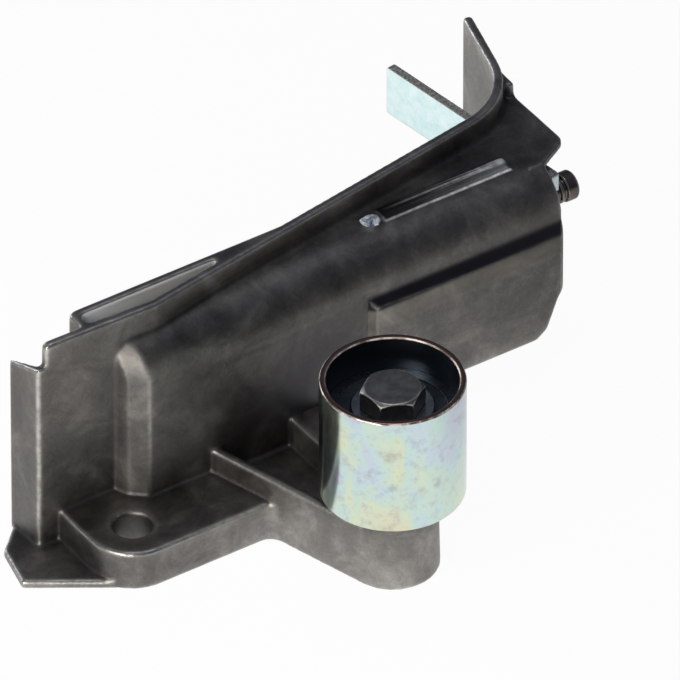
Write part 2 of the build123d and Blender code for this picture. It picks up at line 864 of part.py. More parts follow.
# Two rows of balls
upper_row_z = bearing_mid_z + row_offset
lower_row_z = bearing_mid_z - row_offset
with BuildPart() as bearing_balls_upper:
    with Locations((roller_x, roller_y, upper_row_z)):
        with PolarLocations(pitch_r, ball_count):
            Sphere(ball_r)
bearing_balls_upper.part.label = "bearing_balls_upper"
export_step(bearing_balls_upper.part, "parts/bearing_balls_upper.step")

with BuildPart() as bearing_balls_lower:
    with Locations((roller_x, roller_y, lower_row_z)):
        with PolarLocations(pitch_r, ball_count):
            Sphere(ball_r)
bearing_balls_lower.part.label = "bearing_balls_lower"
export_step(bearing_balls_lower.part, "parts/bearing_balls_lower.step")


# Crown cages, open towards the bearing's middle
with BuildPart() as bearing_cage_upper:
    with BuildSketch(Plane.XY.offset(upper_row_z - cage_inboard)) as upper_cage:
        with Locations((roller_x, roller_y)):
            Circle(pitch_r + cage_wall / 2)
            Circle(pitch_r - cage_wall / 2, mode=Mode.SUBTRACT)
    extrude(amount=cage_inboard + cage_outboard)
    with Locations((roller_x, roller_y, upper_row_z)):
        with PolarLocations(pitch_r, ball_count):
            Sphere(ball_r + cage_gap, mode=Mode.SUBTRACT)
bearing_cage_upper.part.label = "bearing_cage_upper"
export_step(bearing_cage_upper.part, "parts/bearing_cage_upper.step")

with BuildPart() as bearing_cage_lower:
    with BuildSketch(Plane.XY.offset(lower_row_z - cage_outboard)) as lower_cage:
        with Locations((roller_x, roller_y)):
            Circle(pitch_r + cage_wall / 2)
            Circle(pitch_r - cage_wall / 2, mode=Mode.SUBTRACT)
    extrude(amount=cage_inboard + cage_outboard)
    with Locations((roller_x, roller_y, lower_row_z)):
        with PolarLocations(pitch_r, ball_count):
            Sphere(ball_r + cage_gap, mode=Mode.SUBTRACT)
bearing_cage_lower.part.label = "bearing_cage_lower"
export_step(bearing_cage_lower.part, "parts/bearing_cage_lower.step")


# Washer under the bolt head
with BuildPart() as roller_washer:
    with BuildSketch(Plane.XY.offset(bearing_top_z)) as washer_plan:
        with Locations((roller_x, roller_y)):
            Circle(washer_r)
            Circle(spacer_bore_r, mode=Mode.SUBTRACT)
    extrude(amount=washer_thick)
    chamfer(roller_washer.edges().group_by(Axis.Z)[-1].sort_by(SortBy.RADIUS)[-1], length=washer_chamfer)
roller_washer.part.label = "roller_washer"
export_step(roller_washer.part, "parts/roller_washer.step")


# Flanged spacer between the boss and the bearing's inner ring
with BuildPart() as roller_spacer:
    with BuildSketch(roller_section) as spacer_section:
        with BuildLine():
            Polyline(
                (spacer_bore_r, nose_top_z),
                (nose_r, nose_top_z),
                (nose_r, bearing_bottom_z),
                (bearing_bore_r - close_gap, bearing_bottom_z),
                (bearing_bore_r - close_gap, bearing_top_z - spacer_top_gap),
                (spacer_bore_r, bearing_top_z - spacer_top_gap),
                close=True,
            )
        make_face()
    revolve(axis=sleeve_axis)
roller_spacer.part.label = "roller_spacer"
export_step(roller_spacer.part, "parts/roller_spacer.step")


# Roller bolt: hexagon head, plain shank, threaded end drawn at its pitch radius
bolt_head_z = washer_top_z + bolt_head
head_corner_r = bolt_flats / 2 / cos(radians(30))
with BuildPart() as roller_bolt:
    with BuildSketch(Plane.XY.offset(washer_top_z)) as hexagon:
        with Locations((roller_x, roller_y)):
            RegularPolygon(radius=bolt_flats / 2, side_count=6, major_radius=False, rotation=bolt_turn)
    extrude(amount=bolt_head)
    with BuildSketch(roller_section) as head_turning:
        with BuildLine():
            Polyline(
                (0, washer_top_z),
                (head_corner_r, washer_top_z),
                (head_corner_r, bolt_head_z - (head_corner_r - head_flat_r) * tan(radians(head_chamfer_angle))),
                (head_flat_r, bolt_head_z),
                (0, bolt_head_z),
                close=True,
            )
        make_face()
    revolve(axis=sleeve_axis, mode=Mode.INTERSECT)
    with BuildSketch(roller_section) as shank_section:
        with BuildLine():
            Polyline(
                (0, washer_top_z),
                (bolt_r, washer_top_z),
                (bolt_r, nose_top_z + bolt_r - bolt_pitch_r),
                (bolt_pitch_r, nose_top_z),
                (bolt_pitch_r, bolt_tip_z + bolt_tip_chamfer),
                (bolt_pitch_r - bolt_tip_chamfer, bolt_tip_z),
                (0, bolt_tip_z),
                close=True,
            )
        make_face()
    revolve(axis=sleeve_axis)
roller_bolt.part.label = "roller_bolt"
export_step(roller_bolt.part, "parts/roller_bolt.step")


# Piston: hollow head in the bore, rod, neck in the locking plate's fork, collar and button
head_r = bore_r - running_gap
piston_plane = Plane(origin=(0, barrel_y, bore_z), x_dir=(1, 0, 0), z_dir=(0, 0, 1))
ring_x = head_start_x + head_length / 2
with BuildPart() as piston:
    with BuildSketch(piston_plane) as piston_section:
        with BuildLine():
            Polyline(
                (head_start_x + head_hollow_depth, 0),
                (head_start_x + head_hollow_depth, head_hollow_r),
                (head_start_x, head_hollow_r),
                (head_start_x, head_r),
                (ring_x - ring_width / 2, head_r),
                (ring_x - ring_width / 2, head_r - ring_groove_depth),
                (ring_x + ring_width / 2, head_r - ring_groove_depth),
                (ring_x + ring_width / 2, head_r),
                (head_end_x, head_r),
                (head_end_x, rod_r),
                (shoulder_x - rod_chamfer, rod_r),
                (shoulder_x, rod_r - rod_chamfer),
                (shoulder_x, neck_r),
                (collar_x, neck_r),
                (collar_x, collar_r - collar_chamfer),
                (collar_x + collar_chamfer, collar_r),
                (groove_x, collar_r),
                (groove_x, button_groove_r),
                (button_x, button_groove_r),
                (button_x, button_r - collar_chamfer),
                (button_x + collar_chamfer, button_r),
                (button_end_x - button_edge, button_r),
                (button_end_x, button_r - button_edge),
                (button_end_x, 0),
                close=True,
            )
        make_face()
    revolve(axis=barrel_line)
piston.part.label = "piston"
export_step(piston.part, "parts/piston.step")


# Plastic guide ring in the piston's groove
with BuildPart() as piston_ring:
    with BuildSketch(piston_plane) as guide_section:
        with Locations((ring_x, head_r - (ring_groove_depth - close_gap) / 2 + close_gap / 2)):
            Rectangle(ring_width - 2 * close_gap, ring_groove_depth - close_gap)
    revolve(axis=barrel_line)
piston_ring.part.label = "piston_ring"
export_step(piston_ring.part, "parts/piston_ring.step")


# Bronze bush that guides the rod, at the bottom of the bore's mouth
seat_r = mouth_r - close_gap
with BuildPart() as guide_bush:
    with BuildSketch(piston_plane) as bush_section:
        with Locations((mouth_x + bush_length / 2, (seat_r + rod_r + running_gap) / 2)):
            Rectangle(bush_length - close_gap, seat_r - rod_r - running_gap)
    revolve(axis=barrel_line)
guide_bush.part.label = "guide_bush"
export_step(guide_bush.part, "parts/guide_bush.step")


# Rubber rod seal with a lip groove on the oil side
seal_x = mouth_x + bush_length
seal_mid_r = (seat_r + rod_r + running_gap) / 2
with BuildPart() as rod_seal:
    with BuildSketch(piston_plane) as seal_section:
        with BuildLine():
            Polyline(
                (seal_x + close_gap, rod_r + running_gap),
                (seal_x + seal_length - close_gap, rod_r + running_gap),
                (seal_x + seal_length - close_gap, seat_r),
                (seal_x + close_gap, seat_r),
                (seal_x + close_gap, seal_mid_r + seal_lip_half),
                (seal_x + seal_lip_depth, seal_mid_r),
                (seal_x + close_gap, seal_mid_r - seal_lip_half),
                close=True,
            )
        make_face()
    revolve(axis=barrel_line)
rod_seal.part.label = "rod_seal"
export_step(rod_seal.part, "parts/rod_seal.step")


# Steel washer in front of the seal
backing_x = seal_x + seal_length
with BuildPart() as seal_backing_washer:
    with BuildSketch(piston_plane) as backing_section:
        with Locations((backing_x + backing_thick / 2, (seat_r + rod_r + free_gap) / 2)):
            Rectangle(backing_thick - 2 * close_gap, seat_r - rod_r - free_gap)
    revolve(axis=barrel_line)
seal_backing_washer.part.label = "seal_backing_washer"
export_step(seal_backing_washer.part, "parts/seal_backing_washer.step")


# Snap ring in the mouth's groove, open at the bottom
with BuildPart() as retaining_ring:
    with BuildSketch(piston_plane) as snap_section:
        with Locations((snap_x + snap_ring_thick / 2, mouth_r + snap_ring_reach - snap_ring_width / 2)):
            Rectangle(snap_ring_thick - 2 * close_gap, snap_ring_width - close_gap)
    revolve(axis=barrel_line)
    with BuildSketch(Plane.XY.offset(bore_z - 2 * mouth_r)) as snap_gap:
        with Locations((snap_x + snap_ring_thick / 2, barrel_y)):
            Rectangle(2 * snap_ring_thick, snap_ring_gap)
    extrude(amount=2 * mouth_r, mode=Mode.SUBTRACT)
retaining_ring.part.label = "retaining_ring"
export_step(retaining_ring.part, "parts/retaining_ring.step")


# Check valve pressed into the bottom of the bore
valve_end_x = bore_bottom_x + valve_thick
valve_r = bore_r - close_gap
seat_cone = valve_hole_r * valve_seat_share
with BuildPart() as check_valve_body:
    with BuildSketch(piston_plane) as valve_section:
        with BuildLine():
            Polyline(
                (bore_bottom_x, valve_hole_r),
                (bore_bottom_x, valve_r),
                (valve_end_x, valve_r),
                (valve_end_x, seat_cone + valve_seat_rise),
                (valve_end_x - valve_seat_depth, valve_hole_r),
                close=True,
            )
        make_face()
    revolve(axis=barrel_line)
check_valve_body.part.label = "check_valve_body"
export_step(check_valve_body.part, "parts/check_valve_body.step")

ball_x = valve_end_x + check_ball_r * check_ball_seat_share
with BuildPart() as check_ball:
    with Locations((ball_x, barrel_y, bore_z)):
        Sphere(check_ball_r)
check_ball.part.label = "check_ball"
export_step(check_ball.part, "parts/check_ball.step")


# Pressed cap that keeps the check ball near its seat; the spring stands on its flange
cap_inner_r = check_ball_r + valve_cage_side_gap
cap_inner_x = ball_x + check_ball_r + valve_cage_end_gap
with BuildPart() as check_ball_cage:
    with BuildSketch(piston_plane) as cap_section:
        with BuildLine():
            Polyline(
                (valve_end_x, cap_inner_r),
                (valve_end_x, valve_cage_flange_r),
                (valve_end_x + valve_cage_wall, valve_cage_flange_r),
                (valve_end_x + valve_cage_wall, cap_inner_r + valve_cage_wall),
                (cap_inner_x + valve_cage_wall, cap_inner_r + valve_cage_wall),
                (cap_inner_x + valve_cage_wall, valve_cage_hole_r),
                (cap_inner_x, valve_cage_hole_r),
                (cap_inner_x, cap_inner_r),
                close=True,
            )
        make_face()
    revolve(axis=barrel_line)
    with BuildSketch(Plane.XY.offset(bore_z - 2 * cap_inner_r)) as cap_slot:
        with Locations(((valve_end_x + valve_cage_wall + cap_inner_x) / 2, barrel_y)):
            Rectangle(cap_inner_x - valve_end_x - valve_cage_wall, valve_cage_slot)
    extrude(amount=4 * cap_inner_r, mode=Mode.SUBTRACT)
check_ball_cage.part.label = "check_ball_cage"
export_step(check_ball_cage.part, "parts/check_ball_cage.step")


# Spring between the check valve and the hollow piston head
spring_start_x = valve_end_x + valve_cage_wall + spring_wire_r
spring_end_x = head_start_x + head_hollow_depth - spring_wire_r
spring_length = spring_end_x - spring_start_x
with BuildPart() as piston_spring:
    with BuildLine() as spring_path:
        Helix(
            pitch=spring_length / spring_turns,
            height=spring_length,
            radius=spring_r,
            center=(spring_start_x, barrel_y, bore_z),
            direction=(1, 0, 0),
        )
    with BuildSketch(Plane(origin=spring_path.line @ 0, z_dir=spring_path.line % 0)) as wire:
        Circle(spring_wire_r)
    sweep()
piston_spring.part.label = "piston_spring"
export_step(piston_spring.part, "parts/piston_spring.step")


# Steel ball pressed into the filling hole
with BuildPart() as filling_ball:
    with Locations((filling_ball_x, barrel_y, core_roof_z + filling_ball_r)):
        Sphere(filling_ball_r - close_gap)
filling_ball.part.label = "filling_ball"
export_step(filling_ball.part, "parts/filling_ball.step")


# Locking plate: flat zinc-plated strip whose forked end straddles the piston's neck
with BuildPart() as locking_plate:
    with BuildSketch(lock_frame) as lock_outline:
        with Locations((lock_length / 2 - lock_prong, 0)):
            RectangleRounded(lock_length, lock_height, lock_corner)
        with Locations((-lock_prong, bore_z - lock_mid_z)):
            Rectangle(2 * lock_prong, 2 * (neck_r + free_gap), mode=Mode.SUBTRACT)
        with Locations((0, bore_z - lock_mid_z)):
            Circle(neck_r + free_gap, mode=Mode.SUBTRACT)
    extrude(amount=lock_thick)
locking_plate.part.label = "locking_plate"
export_step(locking_plate.part, "parts/locking_plate.step")
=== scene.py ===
# %% [markdown]
# # A timing belt tensioner pulley, dressed for its picture
#
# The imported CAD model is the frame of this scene: one die-cast aluminium
# bracket, a small steel roller on a double-row ball bearing, and a piston
# that is held in by a zinc-plated locking plate. The script gives every part
# its surface, and adds the small things that a caster or a turner would know.

# %% Load the frame
import math

import bmesh
import bpy
import numpy as np
from mathutils import Matrix, Vector, noise


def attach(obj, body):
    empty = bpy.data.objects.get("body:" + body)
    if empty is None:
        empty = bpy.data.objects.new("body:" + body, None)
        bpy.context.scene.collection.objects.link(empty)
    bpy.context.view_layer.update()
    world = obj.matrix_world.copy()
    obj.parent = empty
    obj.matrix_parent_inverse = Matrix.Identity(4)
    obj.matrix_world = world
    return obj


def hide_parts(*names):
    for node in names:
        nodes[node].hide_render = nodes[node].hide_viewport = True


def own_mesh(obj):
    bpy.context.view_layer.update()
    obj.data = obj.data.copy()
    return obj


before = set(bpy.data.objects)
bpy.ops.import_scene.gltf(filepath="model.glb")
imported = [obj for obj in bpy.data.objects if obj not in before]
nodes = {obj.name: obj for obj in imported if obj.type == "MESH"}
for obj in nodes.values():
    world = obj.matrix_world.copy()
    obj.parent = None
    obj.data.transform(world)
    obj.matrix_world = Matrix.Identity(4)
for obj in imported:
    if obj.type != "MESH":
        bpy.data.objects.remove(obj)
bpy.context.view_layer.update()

print("the frame brings", len(nodes), "CAD parts")

# %% [markdown]
# ## One way to write a colour, one way to add a node
#
# Colours are written as the hex values that a picture editor shows. Blender
# calculates with linear light, so one function turns them. Sizes are written
# in millimetres, because that is how a part like this is drawn. A material
# could be wired by hand in the shader editor. Here each node is one call that
# names its settings, its numbers and what flows into it, so that a finish
# reads from top to bottom like a recipe.

# %% Colours and sizes
MM = 0.001


def linear(hex_colour):
    """An sRGB colour such as '#959390' as linear red, green, blue and alpha."""
    channels = [int(hex_colour[i:i + 2], 16) / 255 for i in (1, 3, 5)]
    return [c / 12.92 if c <= 0.04045 else ((c + 0.055) / 1.055) ** 2.4 for c in channels] + [1.0]


def per_mm(size):
    """The scale of a texture whose features are about this many millimetres."""
    return 1 / (size * MM)


print("a grey of #808080 is", round(linear("#808080")[0], 3), "in linear light")

# %% Nodes
# A mix node keeps its colours on these sockets. BLEND goes from A to B, TINT multiplies them.
MIX_FACTOR, MIX_A, MIX_B, MIX_OUT = 0, 6, 7, 2
BLEND = {"data_type": "RGBA"}
TINT = {"data_type": "RGBA", "blend_type": "MULTIPLY"}


def wire(tree, node, links):
    """Leads one output into each named socket of a node."""
    for socket, source in links.items():
        tree.links.new(source, node.inputs[socket])


def add_node(tree, kind, settings=None, values=None, links=None):
    """Adds one node with its settings, its socket values and its incoming links."""
    node = tree.nodes.new(kind)
    for name, value in (settings or {}).items():
        setattr(node, name, value)
    for socket, value in (values or {}).items():
        node.inputs[socket].default_value = value
    wire(tree, node, links or {})
    return node


def set_ramp(ramp_node, *stops):
    """Gives a colour ramp its stops, each a position and a hex colour."""
    elements = ramp_node.color_ramp.elements
    while len(elements) < len(stops):
        elements.new(0.5)
    for element, (position, hex_colour) in zip(elements, stops):
        element.position = position
        element.color = linear(hex_colour)


def empty_tree(owner):
    """The node tree of a material or a world, with nothing in it yet."""
    owner.use_nodes = True
    owner.node_tree.nodes.clear()
    return owner.node_tree


def new_material(name):
    """A material with its tree, its principled shader, and the place on the object."""
    material = bpy.data.materials.new(name)
    tree = empty_tree(material)
    shader = add_node(tree, "ShaderNodeBsdfPrincipled")
    add_node(tree, "ShaderNodeOutputMaterial", links={"Surface": shader.outputs["BSDF"]})
    where = add_node(tree, "ShaderNodeTexCoord").outputs["Object"]
    return material, tree, shader, where


print("a grain of 0.5 mm is a texture scale of", round(per_mm(0.5)), "per metre")

# %% [markdown]
# ## Soft edges on the parts that are seen most
#
# A die-cast part has no sharp edge: the die is rounded so that the melt
# flows and the part lets go. Turned, forged and blanked parts lose theirs in
# the tumbling drum. Bevelling every edge of a copied CAD mesh would be slow,
# and a bevel trips over the many tangent faces. A voxel remesh turns the
# shape into small even squares, and smoothing then wears corners away while
# flat walls stay flat. How far each point moved says how much it stood
# proud, and that number is kept for the polish and the painted edge highlight.

# %% Copy and measure meshes


def link(name, data):
    """Puts a mesh, a lamp or a camera into the scene as an object of that name."""
    made = bpy.data.objects.new(name, data)
    bpy.context.scene.collection.objects.link(made)
    return made


def merged_copy(part):
    """The mesh of a CAD part, copied, with its doubled corner points merged."""
    copy = nodes[part].data.copy()
    shape = bmesh.new()
    shape.from_mesh(copy)
    bmesh.ops.remove_doubles(shape, verts=shape.verts, dist=0.001 * MM)
    shape.to_mesh(copy)
    shape.free()
    copy.materials.clear()
    return copy


def vertex_values(mesh, what):
    """A position or a normal for every vertex, as rows of three numbers."""
    values = np.empty(len(mesh.vertices) * 3, dtype=np.float32)
    mesh.vertices.foreach_get(what, values)
    return values.reshape(-1, 3)


def within(place, low, high):
    """Which of the places, mm, lie in a box."""
    return np.all((place > low) & (place < high), axis=1)


def add_mark(mesh, name, values):
    """Writes one number per vertex, for the materials to read."""
    mesh.attributes.new(name, "FLOAT", "POINT").data.foreach_set("value", values.astype(np.float32))


print("the bracket's CAD mesh has", len(nodes["housing"].data.polygons), "faces")

# %% Wear a copy down


def modified_mesh(thing):
    """The mesh of an object as its modifiers leave it."""
    depsgraph = bpy.context.evaluated_depsgraph_get()
    return bpy.data.meshes.new_from_object(thing.evaluated_get(depsgraph))


def apply_modifiers(made):
    """Gives an object the mesh that its modifiers make, and takes them off."""
    made.data = modified_mesh(made)
    made.modifiers.clear()


def smooth_over(made, rounds, group=""):
    """Moves each point half way to its neighbours, round after round."""
    smooth = made.modifiers.new("smoothing", "SMOOTH")
    smooth.factor = 0.5
    smooth.iterations = rounds
    smooth.vertex_group = group


def mark_openness(made, rounds):
    """Marks how far each point stands out of its wider surroundings, mm."""
    smooth_over(made, rounds)
    far = modified_mesh(made)
    made.modifiers.clear()
    drift = vertex_values(made.data, "co") - vertex_values(far, "co")
    open_mm = (drift * vertex_values(made.data, "normal")).sum(axis=1) / MM
    bpy.data.meshes.remove(far)
    add_mark(made.data, "open_mm", open_mm)
    print(made.name, "lies open by", np.percentile(open_mm, (1, 25, 50, 75, 99)).round(2), "mm")


def tumbled(part, name, voxel, rounds, calm_rounds, face_limit, calm_boxes=(), wide_rounds=0):
    """A softened copy of a CAD part. In the calm boxes it is smoothed less."""
    made = link(name, merged_copy(part))
    remesh = made.modifiers.new("even_squares", "REMESH")
    remesh.mode = "VOXEL"
    remesh.voxel_size = voxel * MM
    apply_modifiers(made)
    sharp = vertex_values(made.data, "co") / MM
    calm = np.zeros(len(sharp), dtype=bool)
    for low, high in calm_boxes:
        calm |= within(sharp, low, high)
    made.vertex_groups.new(name="tumbled").add(np.flatnonzero(~calm).tolist(), 1.0, "REPLACE")
    smooth_over(made, rounds - calm_rounds, "tumbled")
    smooth_over(made, calm_rounds)
    apply_modifiers(made)
    worn = made.data
    proud = ((sharp - vertex_values(worn, "co") / MM) * vertex_values(worn, "normal")).sum(axis=1)
    if wide_rounds:
        mark_openness(made, wide_rounds)
    add_mark(worn, "proud_mm", proud)
    thin = made.modifiers.new("fewer_faces", "DECIMATE")
    thin.ratio = min(1.0, face_limit / (2 * len(worn.polygons)))
    apply_modifiers(made)
    made.data.shade_smooth()
    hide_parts(part)
    print(name, "has", len(made.data.polygons), "faces, worn by up to",
          round(float(np.percentile(proud, 99.9)), 2), "mm")
    return made


# %% Four worn parts
# The voxel is in millimetres. The flat strip on the crown keeps its crisp ends.
STRIP_BOX = ((77.5, 14.8, 51.2), (114.0, 21.2, 54.0))
bracket = tumbled("housing", "cast_bracket", voxel=0.38, rounds=26, calm_rounds=5,
                  face_limit=185000, calm_boxes=(STRIP_BOX,), wide_rounds=160)
bolt = tumbled("roller_bolt", "forged_bolt", voxel=0.14, rounds=14, calm_rounds=14,
               face_limit=60000)
knob = tumbled("piston", "turned_piston", voxel=0.14, rounds=12, calm_rounds=12,
               face_limit=60000)
strip_of_steel = tumbled("locking_plate", "blanked_locking_plate", voxel=0.16, rounds=10,
                         calm_rounds=10, face_limit=50000)
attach(bracket, "housing")
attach(bolt, "housing")
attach(knob, "piston")
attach(strip_of_steel, "locking_plate")

# %% [markdown]
# ## A fillet at the arm's root
#
# Where the arm's right rib runs into the block's front wall, the die was
# rounded generously, so that the metal does not tear there as it cools. A
# cube with one bevelled edge curves the wrong way for an inner corner. Here
# one point is spun a quarter of a turn, the arc is closed behind the two
# walls, and the outline is lifted straight up, as the die is drawn.

# %% Fillet at the arm's root


def finished(shape, name):
    """Turns a bmesh into an object of that name, and frees the bmesh."""
    mesh = bpy.data.meshes.new(name)
    shape.to_mesh(mesh)
    shape.free()
    return link(name, mesh)


ROOT_CORNER = Vector((49.6, 6.1, 5.0)) * MM
ROOT_RADIUS = 11.0 * MM
ROOT_HEIGHT = 11.2 * MM
SUNK = 0.8 * MM
arc_middle = ROOT_CORNER + Vector((ROOT_RADIUS, -ROOT_RADIUS, 0))
shape = bmesh.new()
arc_start = shape.verts.new(arc_middle - Vector((ROOT_RADIUS, 0, 0)))
bmesh.ops.spin(shape, geom=[arc_start], cent=arc_middle, axis=(0, 0, 1),
               angle=-math.pi / 2, steps=16)
outline = list(shape.verts)
for across, along in ((ROOT_RADIUS, SUNK), (-SUNK, SUNK), (-SUNK, -ROOT_RADIUS)):
    outline.append(shape.verts.new(ROOT_CORNER + Vector((across, along, 0))))
floor_face = shape.faces.new(outline)
lifted = bmesh.ops.extrude_face_region(shape, geom=[floor_face])
risen = [item for item in lifted["geom"] if isinstance(item, bmesh.types.BMVert)]
bmesh.ops.translate(shape, verts=risen, vec=(0, 0, ROOT_HEIGHT))
bmesh.ops.recalc_face_normals(shape, faces=shape.faces)
# Lifting leaves the faces in no fixed order. Sorted, they are the same each run.
shape.faces.sort(key=lambda face: face.calc_center_median().length)
print("fillet with", len(shape.faces), "faces and", round(shape.calc_volume() / MM ** 3), "mm3")
root_fillet = finished(shape, "arm_root_fillet")
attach(root_fillet, "housing")

# %% [markdown]
# ## The spring
#
# The coil spring sits between the check valve and the piston. The locking
# plate leaves the piston one millimetre to move in, and the spring has to
# shorten by as much. A stiff copy would cut into the piston's head. Here the
# spring is a smooth-shaded copy with a mesh of its own, and nothing shortens it.

# %% Copy of the spring
spring = link("compressing_spring", merged_copy("piston_spring"))
spring.data.shade_smooth()
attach(spring, "housing")
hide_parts("piston_spring")
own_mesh(spring)

# %% [markdown]
# ## Zones of painted light and shade
#
# Some faces are painted lighter or darker than the casting's skin, as painted
# light and shade: painted light on the low front sides, the guard's end, the
# pad's shelf, the strip on the crown and in the pocket behind the guard, and
# painted shade above the pad and behind the roller. A tool flattened the strip on the crown. Such a
# map could be painted by hand, or the mesh cut up among several materials.
# Here the place and the facing of each point decide, and one number per point
# tells the material how much of a zone it is. That leaves no seams. Places
# are in millimetres: x runs along the bracket, y to the back and z up.

# %% Painted light on the low front sides and the guard's end
place = vertex_values(bracket.data, "co") / MM
facing = vertex_values(bracket.data, "normal")
x, y, z = place.T
facing_x, facing_y, facing_z = facing.T


def fade(values, none_at, full_at):
    """0 at one value and beyond it, 1 at the other, and a straight line between them."""
    return np.clip((values - none_at) / (full_at - none_at), 0.0, 1.0)


# Painted light: the guard's end is painted nearly twice as bright as the low sides.
GUARD_END_X, GUARD_END_Y, GUARD_END_SHARE = 95.0, 24.0, 1.9
FRONT_TO_Y = 4.5
upright = np.abs(facing_z) < 0.6
at_the_front = (y < FRONT_TO_Y) & (facing_y + facing_x < 0.2)
low_side_light = fade(z, 17.0, 11.0) * fade(x, 12.0, 30.0) * upright * at_the_front
guard_end_light = (y > GUARD_END_Y) & (x > GUARD_END_X) & (facing_x < -0.5)
add_mark(bracket.data, "painted_light_mark", np.maximum(low_side_light, guard_end_light * GUARD_END_SHARE))
print("rubbed:", int((low_side_light > 0).sum()), "points low down,", int(guard_end_light.sum()), "at the guard's end")

# %% Strip on the crown
# Painted light and shade: the strip is painted darker at its left and brighter towards its right end, and
# its front edge and far corner get a painted highlight.
STRIP_LEFT, STRIP_RIGHT = 78.9, 112.6
BRIGHT_END, STRIP_SHADE_START = 0.66, -0.14
along_strip = fade(x, STRIP_LEFT, STRIP_RIGHT)
strip_zone = within(place, (STRIP_LEFT, 15.9, 51.5), (STRIP_RIGHT, 20.5, 53.3)) & (facing_z > 0.8)
front_line = within(place, (78.6, 15.6, 51.0), (113.0, 16.2, 53.3)) & (facing_y < 0.1)
end_glint = within(place, (111.0, 18.3, 51.5), (113.3, 20.6, 53.3))
add_mark(bracket.data, "strip_light_and_shade_mark", strip_zone * (BRIGHT_END * along_strip ** 3 + STRIP_SHADE_START))
highlight_line = front_line * np.clip(0.45 + 0.7 * along_strip, 0.0, 1.0)
add_mark(bracket.data, "painted_highlight_mark", np.maximum(highlight_line, end_glint))
print("strip:", int(strip_zone.sum()), "points")

# %% Pocket behind the guard
# Painted light: the pocket is painted pale, palest at its left end. Seen from above, the guard runs at a
# slant. Only the side behind it is pale.
GUARD_SLANT = math.tan(math.radians(9.4))
GUARD_X, GUARD_Y = 15.0, 15.3
pocket_zone = within(place, (-2.2, 15.4, 31.0), (42.0, 19.6, 57.2))
pocket_zone &= y > GUARD_Y + GUARD_SLANT * (x - GUARD_X)
add_mark(bracket.data, "pocket_light_mark", pocket_zone * np.clip(1.1 - 0.009 * x, 0.5, 1.0))
print("pocket:", int(pocket_zone.sum()), "points")

# %% Pad's shelf with painted light, and painted shade above it and behind the roller
PAD_LEFT_X, PAD_BACK_Y = 67.4, 7.0
PAD_ROOT_Z, PAD_SHELF_Z, PAD_FACE_Z = 40.2, 37.6, 33.4
on_pad_side = (facing_y < -0.5) & (x > PAD_LEFT_X) & (y < PAD_BACK_Y)
above_shelf = fade(z, PAD_SHELF_Z - 0.6, PAD_SHELF_Z + 0.2)
below_root = fade(z, PAD_ROOT_Z + 0.9, PAD_ROOT_Z - 0.3)
on_shelf = fade(z, PAD_FACE_Z - 1.2, PAD_FACE_Z + 1.8) * (1 - above_shelf)
# Painted light: the pad's shelf is painted paler, as its slope catches the light.
add_mark(bracket.data, "shelf_light_mark", on_pad_side * on_shelf)
# Painted shade: a dark band on the wall above the pad's shelf, and a dark patch on the wall behind the
# roller.
SHADE_X, SHADE_Z, SHADE_WIDTH, SHADE_HEIGHT, SHADE_SHARE = 51.0, 23.0, 22, 17, 0.9
shade_behind_roller = np.exp(-((x - SHADE_X) / SHADE_WIDTH) ** 2 - ((z - SHADE_Z) / SHADE_HEIGHT) ** 2)
shade_behind_roller *= fade(facing_y, 0.0, -0.5) * (x < 67.0) * (y > 3.0) * (y < 12.0)
painted_shade = np.maximum(on_pad_side * above_shelf * below_root, SHADE_SHARE * shade_behind_roller)
add_mark(bracket.data, "painted_shade_mark", painted_shade)
print("grime:", int((painted_shade > 0.5).sum()), "points")

# %% Less polish and painted edge light at the bolt hole and on the bolt's flats, painted glints at its corners


def dampen(mesh, factor):
    """Scales the polish and the painted edge light: the proud points of a mesh count less, or more where
    the factor is above one.
    """
    kept = mesh.attributes["proud_mm"].data
    proud = np.empty(len(kept), dtype=np.float32)
    kept.foreach_get("value", proud)
    kept.foreach_set("value", (proud * factor).astype(np.float32))


HOLE_REACH, HOLE_TOP_Z = 6.4, 12.0
near_hole = (np.hypot(x, y) < HOLE_REACH) & (z < HOLE_TOP_Z)
dampen(bracket.data, 1.0 - 0.8 * near_hole)
# The bolt stands on the roller's axis. Its flats are 6.5 mm from it, its corners over 7 mm.
ROLLER_X, ROLLER_Y = 47.8, -32.8
bolt_x, bolt_y, bolt_z = (vertex_values(bolt.data, "co") / MM).T
at_corner = fade(np.hypot(bolt_x - ROLLER_X, bolt_y - ROLLER_Y), 6.8, 7.2)
TOP_DEPTH, TOP_FADE = 1.9, 1.7
near_top = np.clip((bolt_z - bolt_z.max() + TOP_DEPTH) / TOP_FADE, 0.1, 0.8)
# Painted highlight: the bolt's top corners get more of the bright worn tone, as glints, its flats and
# sides less.
dampen(bolt.data, near_top * (0.6 + 1.4 * at_corner))
print("bolt hole:", int(near_hole.sum()), "points, bolt's corners:", int((at_corner > 0).sum()))

# %% Cut faces of the locking plate
plate_up = np.abs(vertex_values(strip_of_steel.data, "normal")[:, 2])
add_mark(strip_of_steel.data, "cut_mark", fade(plate_up, 0.5, 0.75))
print("cut faces:", int((plate_up > 0.75).sum()), "points")

# %% [markdown]
# ## The torn gate
#
# The melt entered the die through a round gate on the crown. Its stub was
# knocked off, and the fracture is coarse and much brighter than the skin. A
# bump in the material would leave the stub's round outline as it is, and
# sculpting could not be repeated. A flattened ball of small faces is pushed
# in and out by noise, with one noise for the outline and two for the chips.

